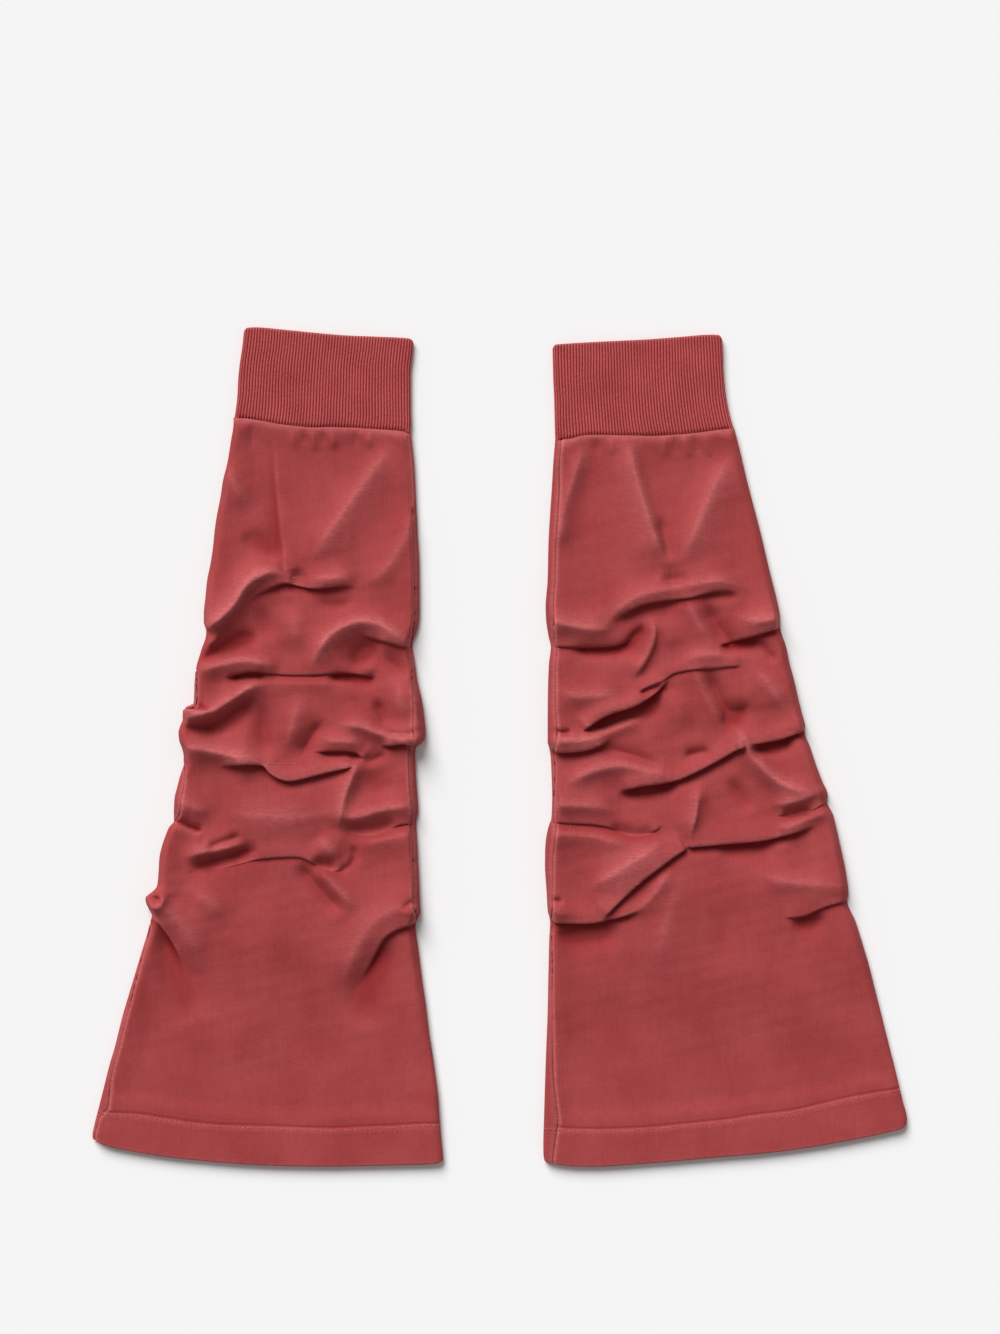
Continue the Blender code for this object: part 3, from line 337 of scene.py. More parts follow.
            (-2.6, 2.8, 2.8, ((155, 66), (160.5, 58.5), (167, 50))),
            (-3.0, 1.8, 2.4, ((84, 31.6), (92, 35.4), (99, 39))),
            (3.6, 7, 5, ((108, 52), (120, 55), (134, 55.6), (149, 54))),
            (3.8, 8, 9, ((148, 50), (158, 42), (166, 30), (172, 18))),
            (-7.0, 4, 6, ((54, 8), (64, 13.6), (74, 17), (84, 20), (93, 25.6), (100, 32))),
            (5.6, 6, 5, ((27, 5.6), (45, 4.2), (56, 6), (67, 10), (79, 15), (93, 21))),
            (4.4, 9, 8, ((31, 36), (46, 31), (62, 31), (78, 34))),
            (-3.8, 1.7, 1.7, ((31, 9.4), (39, 9), (45, 10))),
            (2.4, 9, 9, ((104, 36), (108, 24), (113, 10))),
            (4.6, 17, 6, ((110, 54), (118, 44), (125, 32), (132, 18), (140, 4))),
            (-6.4, 5, 9, ((124, 50), (129, 38), (135, 26), (142, 16), (150, 8))),
            (-4.4, 5, 5, ((132, 15), (141, 17), (153, 28))),
            (5.6, 6, 6, (
                (136, 17), (143, 11), (148, 3), (153, -6), (162, -16), (173, -23), (190, -28))),
            (-5.0, 2.6, 4.4, ((149, -0.8), (158, -1.2), (166, 0.4), (178, 5))),
            (-3.2, 3, 3, ((110, -6), (120, -3.2), (130, -2.4))),
            (5.0, 8, 7, ((38, -24), (56, -14), (72, -10.6), (88, -13), (106, -16))),
            (-3.6, 4, 4, ((60, 0.6), (74, -3), (88, -7), (99, -13))),
            (-3.6, 2.6, 5, ((71, -29), (84, -27.2), (95, -25.2), (109, -21.6))),
            (4.4, 10, 6, ((24, -34), (42, -34.4), (58, -35), (74, -39))),
            (3.2, 3.4, 9, ((24, -51.6), (46, -52), (62, -54), (80, -60))),
            (-3.2, 3.2, 2.6, ((66, -46.6), (76, -50), (86, -51), (95, -48.4))),
            (4.4, 4, 9, ((122, -18), (119.4, -36), (115, -56))),
            (-3.4, 5, 5, ((137, -18), (145, -28), (152, -40))),
            (-3.4, 3.4, 7, ((130, -61), (145, -60.8), (156, -60.2), (169, -57.6))),
            (6.0, 9, 11, ((50, -86), (62, -80), (76, -71), (90, -62), (104, -54))),
            (3.0, 4, 6, ((78, -100), (90, -91), (98, -81), (105, -71))),
            (-3.8, 2.6, 2.2, ((168, -40), (177, -39.2), (188, -36))),
            (3.6, 3, 5, ((166, -48), (175, -46.2), (185, -42.4), (199, -36))),
            (4.6, 9, 4, ((160, -34), (176, -32), (196, -25))),
            (4.0, 11, 9, ((150, -75), (172, -80), (190, -82), (211, -82))),
            (-3.0, 1.8, 1.8, ((29, -91.6), (36, -91.2), (40, -92.4))),
            (-5.4, 4, 9, ((30, -110), (46, -112), (62, -110), (76, -106))),
            (-5.0, 3, 7, ((174, -106), (186, -104.6), (198, -100))),
            (3.0, 15, 13, ((114, -66), (106, -88), (99, -112), (94, -140))),
            (-1.6, 14, 14, ((140, -84), (136, -110), (130, -140))),
            (1.0, 16, 14, ((168, -120), (176, -150), (184, -185))),
            (-1.8, 14, 14, ((66, -140), (70, -170), (74, -200))),
            (0.9, 2.4, 2.4, ((101, 187), (100, 181), (101, 173))),
            (-0.9, 2.2, 2.2, ((106, 187.2), (106.5, 181), (108, 174))),
            (0.9, 2.4, 2.4, ((112, 187.8), (113, 181), (115, 172))),
            (-0.9, 2.2, 2.2, ((118, 188), (119, 182), (121, 175))),
            (0.8, 2.4, 2.4, ((124, 189), (125.5, 182), (128, 173))),
            (-1.2, 3, 3, ((60, 186.8), (60, 181), (59, 174))),
            (1.2, 3, 3, ((68, 186.8), (68.5, 181), (69, 174))),
        ),
        "lips": (
            (2.1, 8, 0.6, 3, 1.3, 16, 22, (
                (69, 74.4), (76.5, 80.2), (85.5, 84.8), (95.5, 87.1), (106.5, 88.5), (115.5, 89.5),
                (123, 91.5), (130.5, 93.3), (139.5, 93), (147, 90.6))),
            (1.4, 8, 0.6, 1.6, 1.1, 0, 8, (
                (29, 60.4), (40, 60.4), (50, 60), (60, 60.2), (69, 60.7), (76, 62.8), (82, 67))),
            (1.2, 7, 0.8, 7, 0.4, 16, 14, (
                (80, 37), (83.5, 43), (88.5, 51), (92.5, 59), (94.6, 68), (95, 77))),
            (2.7, 8, 1.6, 2, 1.3, 6, 0, (
                (132, 60.6), (142.5, 63.8), (151.5, 66.2), (160.5, 69), (171, 72.4))),
            (1.4, 6, 0.6, 1.6, 1.1, 5, 6, (
                (83, 32), (89, 36), (95, 38.6), (100, 41), (105.5, 44.3), (112.5, 46), (120, 47),
                (130, 47.6), (139, 48.5), (147, 48.8))),
            (4.8, 5.5, 2, 4, 1.8, 6, 12, (
                (50, 8.6), (56, 13), (63, 17.5), (70, 20.6), (78, 22.9), (86, 26.3), (93, 31), (99, 36),
                (105, 41.6))),
            (3.2, 4.5, 1.2, 3, 1.4, 0, 10, (
                (29.5, -1.2), (36, -2.7), (46, -2.6), (55, -1.2), (62, 1.5), (69, 5))),
            (3.3, 8, 2.2, 2.5, 1.6, 6, 0, (
                (151, 1.2), (160.5, 3), (169.5, 4.8), (177, 7.5), (186, 10.8))),
            (3.9, 5.5, 1.5, 4, 1.8, 10, 4, (
                (72, -27), (85.5, -23.4), (97.5, -21.8), (108, -19.5), (117, -15.8), (127.5, -10.5),
                (136.5, -5.4), (143, -1.6), (149, 0.6))),
            (1.0, 6, 0.4, 3, 0.4, 12, 14, (
                (114.5, -58.5), (116, -50), (118, -42), (119.2, -32), (118.4, -20))),
            (1.5, 8, 0.6, 2, 1.1, 0, 8, (
                (30.5, -43.8), (40.5, -45), (49.5, -45.4), (58.5, -45.9), (66, -47.4), (72, -50),
                (79, -52.3), (87, -52.4), (94.5, -49.4), (100, -44.6))),
            (3.0, 10, 1.6, 3.5, 1.5, 4, 14, (
                (112.5, -59.9), (124.5, -58.9), (135, -57.9), (145.5, -57.1), (156, -56.2),
                (166.5, -54), (177, -51), (191, -46.6))),
            (3.3, 9, 1.2, 3, 1.4, 8, 3, (
                (61, -103), (66, -99), (73.5, -91.6), (81, -84.6), (88.5, -78), (97.5, -71.3),
                (106.5, -64.8), (114, -60))),
            (1.7, 8, 0.6, 1.8, 1.2, 5, 0, (
                (166, -40.2), (174, -41), (181.5, -40.2), (187.5, -37.8), (193, -34.6), (199.5, -31))),
            (3.4, 9, 1.2, 3.2, 1.6, 0, 12, (
                (29.5, -104.2), (40.5, -105), (52.5, -105.3), (61.5, -104.3), (70.5, -102.2),
                (79.5, -99.6), (87, -97))),
            (1.8, 9, 0.6, 2.5, 1.2, 8, 0, (
                (170, -102), (181.5, -101), (187.5, -98.8), (195, -95.3), (202.5, -93), (212, -90.6))),
        ),
        "tacks": (
            ((114, -6.6), (118, -5.2), (124.6, -4)),
            ((100, 99.2), (104, 98.2), (109, 98.4), (112.4, 99.4)),
        ),
        "threads": (
            ((43.4, -45.4), (43.7, -47.4), (43.3, -48.8), (44.4, -49.9)),
            ((34.4, -95.2), (34.8, -96.8), (34.2, -98.2)),
            ((37.2, -93.6), (36.9, -95.2), (37.5, -96.6)),
        ),
    },
}


def through(rows, at, key=0, value=1):
    # A smooth curve through a table, which never overshoots.
    table = np.array(sorted(rows, key=lambda row: row[key]), dtype=float)
    keys = table[:, key]
    values = table[:, value]
    spans = np.diff(keys)
    slopes = np.diff(values) / spans
    tangents = np.zeros(len(keys))
    tangents[0] = slopes[0]
    tangents[-1] = slopes[-1]
    for k in range(1, len(slopes)):
        if slopes[k - 1] * slopes[k] > 0:
            before = 2 * spans[k] + spans[k - 1]
            after = spans[k] + 2 * spans[k - 1]
            tangents[k] = (before + after) / (before / slopes[k - 1] + after / slopes[k])
    at = np.clip(np.asarray(at, dtype=float), keys[0], keys[-1])
    k = np.clip(np.searchsorted(keys, at) - 1, 0, len(spans) - 1)
    t = (at - keys[k]) / spans[k]
    rise = values[k] * (2 * t**3 - 3 * t**2 + 1) + values[k + 1] * (3 * t**2 - 2 * t**3)
    return rise + spans[k] * (tangents[k] * (t**3 - 2 * t**2 + t) + tangents[k + 1] * (t**3 - t**2))


def edgeAt(rows, y):
    # x of a side edge at y.
    return through(rows, y, key=1, value=0)


def ease(value, start, end):
    # 0 at start, 1 at end, smooth between them.
    t = np.clip((np.asarray(value, dtype=float) - start) / (end - start), 0, 1)
    return t * t * (3 - 2 * t)


def bell(value, top, reach):
    # 1 at the top, falling off softly on both sides.
    return np.exp(-((value - top) / reach) ** 2)


def roundOff(share):
    # How far a round rim has dropped, from 0 where the rounding starts to 1 at its very edge.
    return 1 - np.sqrt(np.maximum(1 - share**2, 0))


def smoothRun(points):
    # A curve through a run's points, sampled about every 1.4 mm.
    points = np.array(points, dtype=float)
    length = np.hypot(*np.diff(points, axis=0).T).sum()
    padded = np.vstack([2 * points[0] - points[1], points, 2 * points[-1] - points[-2]])
    t = np.linspace(0, len(points) - 1, max(8, int(length / 1.4)))
    k = np.minimum(t.astype(int), len(points) - 2)
    t = (t - k)[:, None]
    a, b, c, d = (padded[k + n] for n in range(4))
    return 0.5 * (2 * b + (c - a) * t + (2 * a - 5 * b + 4 * c - d) * t**2 + (3 * b - a - 3 * c + d) * t**3)


def beside(run, x, y):
    # For each point: its distance from the run (above zero on the left of it), how far along the run
    # it is, the run's whole length, and the direction square to the run.
    way = np.gradient(run, axis=0)
    way /= np.hypot(way[:, 0], way[:, 1])[:, None]
    spans = np.diff(run, axis=0)
    lengths = np.hypot(spans[:, 0], spans[:, 1])
    start = np.concatenate([[0], np.cumsum(lengths)])
    nearest = np.full(x.shape, 1e9)
    side = np.ones(x.shape)
    along = np.zeros(x.shape)
    square = np.zeros(x.shape + (2,))
    for k, span in enumerate(spans):
        dx = x - run[k, 0]
        dy = y - run[k, 1]
        t = np.clip((dx * span[0] + dy * span[1]) / lengths[k] ** 2, 0, 1)
        offX = dx - t * span[0]
        offY = dy - t * span[1]
        distance = np.hypot(offX, offY)
        closer = distance < nearest
        nearest[closer] = distance[closer]
        side[closer] = np.where(span[0] * offY - span[1] * offX >= 0, 1.0, -1.0)[closer]
        along[closer] = (start[k] + t * lengths[k])[closer]
        here = way[k] + t[..., None] * (way[k + 1] - way[k])
        square[closer] = np.stack([-here[..., 1], here[..., 0]], -1)[closer]
    return nearest * side, along, start[-1], square


def closeTo(run, reach, x, y):
    # The points that a run can move at all.
    low = run.min(axis=0) - reach
    high = run.max(axis=0) + reach
    return (x > low[0]) & (x < high[0]) & (y > low[1]) & (y < high[1])


def unevenness(x, y, seed, shortest, longest):
    # Soft random relief between about -1 and 1: waves of many lengths and directions.
    dice = np.random.default_rng(seed)
    total = np.zeros(np.shape(x))
    count = 18
    for n in range(count):
        length = shortest * (longest / shortest) ** (n / (count - 1))
        turn = dice.uniform(0, math.tau)
        phase = dice.uniform(0, math.tau)
        total = total + np.sin(math.tau / length * (x * math.cos(turn) + y * math.sin(turn)) + phase)
    return total / math.sqrt(count)


def thickerBy(share):
    # The jersey's thickness where a share of it, from 0 to 1, is turned up.
    return cloth["jersey"] + (cloth["hemWall"] - cloth["jersey"]) * share


def wallAt(leg, x, y):
    # Thickness of one layer: the turned-up hem is below its stitching.
    return thickerBy(ease(y - through(legs[leg]["hemStitch"], x), 1.2, -1.2))


def restHeight(leg, x, y):
    # Top of the lower layer, with room for its turned-up hem.
    return thickerBy(ease(y - through(legs[leg]["hemStitch"], x), 15, 5))


def insideEdge(leg, x, y):
    # How far a point is inside the nearer side edge, the radius of that edge, and the leg's width.
    shape = legs[leg]
    left = x - edgeAt(shape["leftEdge"], y)
    right = edgeAt(shape["rightEdge"], y) - x
    nearLeft = left < right
    high = np.where(nearLeft, through(shape["leftHigh"], y), through(shape["rightHigh"], y))
    return np.where(nearLeft, left, right), high / 2, left + right


def looseCloth(y, sideways):
    # How high the slack between the tucks stands: sideways is 0 in the middle of a leg, 1 at its sides.
    top, end = (rows[0] + (rows[1] - rows[0]) * sideways for rows in (cloth["slackTop"], cloth["slackEnd"]))
    fadeTop, fadeEnd = cloth["slackFade"]
    return cloth["slack"] * ease(top - y, 0, fadeTop) * ease(y - end, 0, fadeEnd)


# How much paler or darker each place is painted at its middle (1 is all): rubbed wear and painted highlight
# make it paler, and painted shade makes it darker.
paintedLightAndWear = {
    "crest": 0.06,              # rubbed wear and painted highlight on a ridge's crest, for each mm of its height, if it is higher than
    "crestFrom": 2.5,           # mm
    "lip": 0.75,                # the edge of a fold that hangs over
    "crease": 0.8,              # painted shade beneath it
    "high": 0.42,               # painted highlight on cloth that stands high
    "low": 0.5,                 # painted shade in hollows
    "hemEdge": 0.6,
    # painted highlight on the hem's step just below its stitching
    "hemStitch": 0.2,
    "aboveStitch": 0.35,        # painted shade in the groove beside the stitching
    # rubbed wear and painted highlight on the body's rolled edge below the cuff seam
    "cuffSeam": 0.5,
    "sideSeam": 0.7,
    "backSeam": 0.5,
    "cuffEdge": 0.25,
}


def laySwells(shape, x, y, folds, wearAndPaintedLight):
    # Adds the soft ridges and troughs, and paints the crests of the tall ones paler, as rubbing and painted
    # highlight.
    for high, leftReach, rightReach, points in shape["swells"]:
        run = smoothRun(points)
        near = closeTo(run, 3.6 * max(leftReach, rightReach), x, y)
        if not near.any():
            continue
        distance, along, length, _ = beside(run, x[near], y[near])
        reach = np.where(distance > 0, leftReach, rightReach)
        soft = min(max(1.1 * (leftReach + rightReach), 0.24 * length), 0.45 * length)
        ends = ease(along, -0.05 * soft, soft) * ease(length - along, -0.05 * soft, soft)
        profile = np.exp(-(np.abs(distance) / reach) ** cloth["crisp"])
        folds[near] += cloth["fullness"] * high * ends * profile
        # rubbed wear and painted highlight: tall ridges are painted paler along their crests
        if high > paintedLightAndWear["crestFrom"]:
            wearAndPaintedLight[near] += paintedLightAndWear["crest"] * high * ends * bell(distance, 0.5, 2.6)


def layLips(shape, x, y, folds, wearAndPaintedLight, paintedShade):
    # Adds the folds that hang over, rubbed on the edge and with painted shade beneath it. Gives back how
    # far the cloth goes sideways.
    shift = np.zeros(x.shape + (2,))
    nose = cloth["lipNose"]
    foot = cloth["lipFoot"]
    for high, upReach, deep, lowReach, over, startEase, endEase, points in shape["lips"]:
        run = smoothRun(points)
        near = closeTo(run, 2.6 * max(upReach, lowReach), x, y)
        if not near.any():
            continue
        distance, along, length, square = beside(run, x[near], y[near])
        ends = np.ones(along.shape)
        if startEase:
            ends = ends * ease(along, 0, startEase)
        if endEase:
            ends = ends * ease(length - along, 0, endEase)
        s = distance - ends * (over - 0.6 * nose)
        face = ease(s, -foot, nose)
        upper = face * bell(np.maximum(s - nose, 0), 0, upReach)
        lower = (1 - face) * bell(np.maximum(-foot - s, 0), 0, lowReach)
        folds[near] += ends * (high * upper - deep * lower)
        out = bell(s, 0.7 * nose, 1.9)
        under = bell(s, -foot - 0.3, 1.7)
        shift[near] += square * (ends * over * (0.9 * under - out))[..., None]
        tall = min(high / 3.0, 1.0)
        wearAndPaintedLight[near] += paintedLightAndWear["lip"] * tall * ends * bell(s, 0.9, 1.2)
        # painted shade: the crease beneath the fold is painted a darker red
        paintedShade[near] += paintedLightAndWear["crease"] * tall * ends * bell(s, -foot - 0.8, 2.0)
    return shift


def clothSurface(leg, x, y):
    # Where the cloth that lies at x, y goes: its place on the upper surface, how much paler it is painted
    # for rubbed wear and painted highlight (below zero where painted shade darkens a crease or hollow), and
    # how thick it is.
    shape = legs[leg]
    x = np.asarray(x, dtype=float)
    y = np.asarray(y, dtype=float)
    inside, radius, width = insideEdge(leg, x, y)
    wall = wallAt(leg, x, y)
    resting = restHeight(leg, x, y) + cloth["restGap"] + wall
    inRound = np.clip(inside, 0, radius)
    rounded = radius + np.sqrt(np.maximum(radius**2 - (radius - inRound) ** 2, 0))
    lowering = bell(np.maximum(inside - radius, 0), 0, cloth["edgeFall"])
    edge = np.where(inside < radius, rounded, resting + (2 * radius - resting) * lowering)
    slackHere = looseCloth(y, ease(1 - inside / (0.5 * width), 0.0, 1.0))
    below = through(shape["cuffSeam"], x) - y
    folds = slackHere + cloth["bulge"] * bell(below, 0, cloth["bulgeFall"])
    wearAndPaintedLight = np.zeros(x.shape)
    paintedShade = np.zeros(x.shape)
    laySwells(shape, x, y, folds, wearAndPaintedLight)
    shift = layLips(shape, x, y, folds, wearAndPaintedLight, paintedShade)
    # painted highlight: cloth standing high over the loose cloth is painted paler
    wearAndPaintedLight = wearAndPaintedLight + paintedLightAndWear["high"] * np.clip((folds - slackHere - 2.0) / 6.0, 0, 1)
    # painted shade: hollows below the loose cloth are painted a darker red
    paintedShade = paintedShade + paintedLightAndWear["low"] * np.clip((slackHere - folds - 0.5) / 4.5, 0, 1)
    folds = folds * ease(inside, 0.3, 5.0)
    folds = folds + cloth["relief"] * unevenness(x, y, 7, 7, 46) * ease(inside, 1.0, 8.0)
    over = edge + folds - resting
    settled = resting + 0.5 * (over + np.sqrt(over**2 + cloth["soften"] ** 2))
    z = np.where(inside < radius, np.maximum(edge + folds, np.minimum(edge, resting)), settled)
    shift = shift * ease(inside, 0.0, 3.0)[..., None]
    # the hem stitching pulls in, and the turned-up edge of the hem is round
    stitch = y - through(shape["hemStitch"], x)
    z = z - cloth["hemDip"] * bell(stitch, 0.7, 0.7) * ease(inside, 0.0, 2.0)
    aboveHem = np.clip(y - through(shape["hem"], x), 0, None)
    z = z - 0.5 * wall * roundOff(np.clip(1 - aboveHem / (0.5 * wall), 0, 1))
    # the body puffs a little over the seam of the cuff, and rolls down into it
    z = z - cloth["seamRoll"] * roundOff(np.clip(1 - below / cloth["seamRoll"], 0, 1))
    ceiling = cuffs["high"] - 0.5 + 1.3 * np.sqrt(np.clip(below, 0, None))
    z = 0.5 * (z + ceiling - np.sqrt((z - ceiling) ** 2 + 0.4))
    shift[..., 1] += 0.7 * bell(below, 1.6, 1.6)
    # a rubbed hem edge, and painted highlight on the hem's step just below its stitching
    wearAndPaintedLight = wearAndPaintedLight + paintedLightAndWear["hemEdge"] * bell(aboveHem, 0, 1.3) + paintedLightAndWear["hemStitch"] * bell(stitch, -1.2, 0.8)
    # rubbed wear and painted highlight on the body's rolled edge under the cuff seam
    wearAndPaintedLight = wearAndPaintedLight + paintedLightAndWear["cuffSeam"] * bell(below, 1.6, 1.8)
    # painted shade in the groove just above the hem stitching
    paintedShade = paintedShade + paintedLightAndWear["aboveStitch"] * bell(stitch, 1.6, 0.8)
    places = np.stack([x + shift[..., 0], y + shift[..., 1], z], -1)
    return places, np.clip(wearAndPaintedLight - paintedShade, -1, 1), wall


def patchPoint(shape, names, u, v):
    # A point between four curves: u runs from left to right, v from top to bottom.
    topRows, lowRows, leftRows, rightRows = (shape[name] for name in names)
    topX = topRows[0][0] + (topRows[-1][0] - topRows[0][0]) * u
    lowX = lowRows[0][0] + (lowRows[-1][0] - lowRows[0][0]) * u
    topY = through(topRows, topX)
    lowY = through(lowRows, lowX)
    leftY = topRows[0][1] + (lowRows[0][1] - topRows[0][1]) * v
    rightY = topRows[-1][1] + (lowRows[-1][1] - topRows[-1][1]) * v
    leftX = edgeAt(leftRows, leftY)
    rightX = edgeAt(rightRows, rightY)
    bowTop = topY - ((1 - u) * topRows[0][1] + u * topRows[-1][1])
    bowLow = lowY - ((1 - u) * lowRows[0][1] + u * lowRows[-1][1])
    x = (1 - u) * leftX + u * rightX
    y = (1 - u) * leftY + u * rightY + (1 - v) * bowTop + v * bowLow
    return x, y


legCurves = ("cuffSeam", "hem", "leftEdge", "rightEdge")
cuffCurves = ("cuffTop", "cuffSeam", "cuffLeft", "cuffRight")


def middleOf(rows):
    # Mean height of a curve's two ends.
    return 0.5 * (rows[0][1] + rows[-1][1])


def legRows(leg):
    # Rows of a leg as shares of its length: fine through the tucks, at the stitching and at both ends.
    top = middleOf(legs[leg]["cuffSeam"])
    low = middleOf(legs[leg]["hem"])
    heights = [top - d for d in (0, 0.15, 0.45, 0.9, 1.5, 2.2, 3.1)]
    parts = (
        (top - 4.2, cloth["foldTop"], cloth["openStep"]),
        (cloth["foldTop"], cloth["foldEnd"], cloth["rowStep"]),
        (cloth["foldEnd"], low + 29, cloth["openStep"]),
        (low + 29, low + 15, cloth["stitchStep"]),
        (low + 15, low + 3, cloth["openStep"]),
    )
    for start, end, spacing in parts:
        heights += list(np.linspace(start, end, max(2, round((start - end) / spacing)), endpoint=False))
    heights += [low + d for d in (3, 2, 1.3, 0.8, 0.4, 0.15, 0)]
    if len(heights) % 2 == 0:
        heights.insert(8, 0.5 * (heights[7] + heights[8]))
    return [(top - y) / (top - low) for y in heights]


def seamTurn(inset, radius):
    # How far round a folded edge its seam lies, in radians: 0 is at the side, a quarter turn on top.
    share = np.clip(1 - abs(inset) / radius, -1, 1)
    return math.copysign(math.acos(share), inset)


def rowEnds(leg, v):
    # One row's two edges: width, and for each side its radius, the turn of its seam and its inset.
    shape = legs[leg]
    sides = []
    xs = []
    for side, u in (("left", 0.0), ("right", 1.0)):
        x, y = patchPoint(shape, legCurves, u, v)
        radius = float(through(shape[side + "High"], y)) / 2
        inset = float(through(shape[side + "Seam"], y))
        sides.append((radius, seamTurn(inset, radius), inset))
        xs.append(float(x))
    return xs[1] - xs[0], sides


def gridNormals(places):
    across = np.gradient(places, axis=1)
    down = np.gradient(places, axis=0)
    normal = np.cross(down, across)
    return normal / np.maximum(np.linalg.norm(normal, axis=-1, keepdims=True), 1e-9)


def toPart(places):
    # From the tables' millimetres to the part's metres, and never below the surface it lies on.
    moved = (np.asarray(places, dtype=float) - np.array([middle[0], middle[1], 0.0])) * mm
    moved[..., 2] = np.maximum(moved[..., 2], 0.0)
    return moved


def linkObject(name, data):
    piece = bpy.data.objects.new(name, data)
    bpy.context.scene.collection.objects.link(piece)
    return piece


def meshObject(name, points, faces, fades, flats, cutFrom=None):
    # A mesh with its wear and painted light and its flat layout; faces from cutFrom on are the sharp sides
    # of a panel.
    data = bpy.data.meshes.new(name)
    data.from_pydata(points.tolist(), [], faces)
    wearAndPaintedLight = data.attributes.new("wearAndPaintedLight", "FLOAT", "POINT")
    wearAndPaintedLight.data.foreach_set("value", np.asarray(fades, dtype=np.float32))
    corners = np.zeros(len(data.loops), dtype=np.int32)
    data.loops.foreach_get("vertex_index", corners)
    layer = data.uv_layers.new(name="cloth")
    layer.data.foreach_set("uv", np.asarray(flats, dtype=np.float32)[corners].reshape(-1))
    mesh = bmesh.new()
    mesh.from_mesh(data)
    bmesh.ops.recalc_face_normals(mesh, faces=mesh.faces)
    mesh.to_mesh(data)
    mesh.free()
    smooth = np.ones(len(faces), dtype=bool)
    if cutFrom:
        smooth[cutFrom:] = False
    data.polygons.foreach_set("use_smooth", smooth)
    return linkObject(name, data)


def shellObject(name, outer, inner, faded, flat):
    # A closed wall: an outer skin, an inner skin with every point or every second one, and the rims.
    rows, columns = outer.shape[:2]
    innerRows, innerColumns = inner.shape[:2]
    outIndex = np.arange(rows * columns).reshape(rows, columns)
    inIndex = rows * columns + np.arange(innerRows * innerColumns).reshape(innerRows, innerColumns)
    step = (rows - 1) // (innerRows - 1)

    def skin(index, up):
        a, b = index[:-1, :-1], index[1:, :-1]
        c, d = index[1:, 1:], index[:-1, 1:]
        order = (a, b, c, d) if up else (d, c, b, a)
        return np.stack(order, -1).reshape(-1, 4).tolist()

    def rimFaces(outRim, inRim):
        made = []
        for k in range(len(inRim) - 1):
            if step == 1:
                made.append((outRim[k], outRim[k + 1], inRim[k + 1], inRim[k]))
                continue
            made.append((outRim[2 * k], outRim[2 * k + 1], inRim[k]))
            made.append((outRim[2 * k + 1], inRim[k + 1], inRim[k]))
            made.append((outRim[2 * k + 1], outRim[2 * k + 2], inRim[k + 1]))
        return made

    faces = skin(outIndex, True) + skin(inIndex, False)
    faces += rimFaces(outIndex[0], inIndex[0]) + rimFaces(outIndex[-1][::-1], inIndex[-1][::-1])
    cutFrom = len(faces)
    faces += rimFaces(outIndex[:, -1], inIndex[:, -1]) + rimFaces(outIndex[::-1, 0], inIndex[::-1, 0])
    points = np.concatenate([outer.reshape(-1, 3), inner.reshape(-1, 3)])
    fades = np.concatenate([faded.reshape(-1), faded[::step, ::step].reshape(-1)])
    flats = np.concatenate([flat.reshape(-1, 2), flat[::step, ::step].reshape(-1, 2)])
    return meshObject(name, toPart(points), faces, fades, flats * mm, cutFrom)


def sideColumns(radius, turn, inset, count):
    # The columns beside a side seam of a front panel: how far inside the edge each one is, its angle
    # round that edge, and how far it is from the seam along the cloth.
    angles = np.linspace(turn, max(math.pi / 2, turn + 0.4), count)
    if inset > radius:
        inside = inset + np.linspace(0, 3.0, count)
        return inside, angles, inside - inside[0]
    return radius * (1 - np.cos(angles)), angles, radius * (angles - turn)


def frontPanel(leg):
    # The upper layer of a leg, from one side seam to the other.
    shape = legs[leg]
    edgeColumns = 8
    widest = max(rowEnds(leg, v)[0] for v in (0.3, 0.6, 0.85))
    midColumns = int(0.80 * widest / cloth["rowStep"]) // 2 * 2 + 1
    counts = (edgeColumns, midColumns, edgeColumns)
    rows = []
    for v in legRows(leg):
        width, sides = rowEnds(leg, v)
        (leftIn, leftAngles, leftArc), (rightIn, rightAngles, rightArc) = (
            sideColumns(*side, edgeColumns) for side in sides)
        middleIn = np.linspace(leftIn[-1], width - rightIn[-1], midColumns + 2)[1:-1]
        inside = np.concatenate([leftIn, middleIn, (width - rightIn)[::-1]])
        x, y = patchPoint(shape, legCurves, inside / width, v)
        turn = np.concatenate([leftAngles, np.full(midColumns, 1.0), rightAngles[::-1]])
        arc = np.concatenate([leftArc, np.full(midColumns, 99.0), rightArc[::-1]])
        radius = np.repeat([sides[0][0], 1.0, sides[1][0]], counts)
        shown = np.repeat([sides[0][2] > 0, False, sides[1][2] > 0], counts)
        rows.append((x, y, turn, arc, radius, shown))
    x, y, turn, arc, radius, shown = (np.array(part) for part in zip(*rows))
    places, wearAndPaintedLight, wall = clothSurface(leg, x, y)
    places[..., 2] = np.where(turn < 0, radius + radius * np.sin(turn), places[..., 2])
    normal = gridNormals(places)
    places = places - normal * (cloth["seamDip"] * bell(arc, 0, 0.9))[..., None]
    wearAndPaintedLight = np.clip(wearAndPaintedLight + paintedLightAndWear["sideSeam"] * shown * bell(arc, 1.0, 1.1), -1, 1)
    inner = (places - normal * wall[..., None])[::2, ::2]
    floorRest = restHeight(leg, x, y)[::2, ::2] + 0.2
    away = np.repeat([False, True, False], counts)[::2]         # away from the rounded edges
    inner[..., 2] = np.where(away, np.maximum(inner[..., 2], floorRest), inner[..., 2])
    return shellObject("jersey_front_" + leg, places, inner, wearAndPaintedLight, np.stack([x, y], -1))


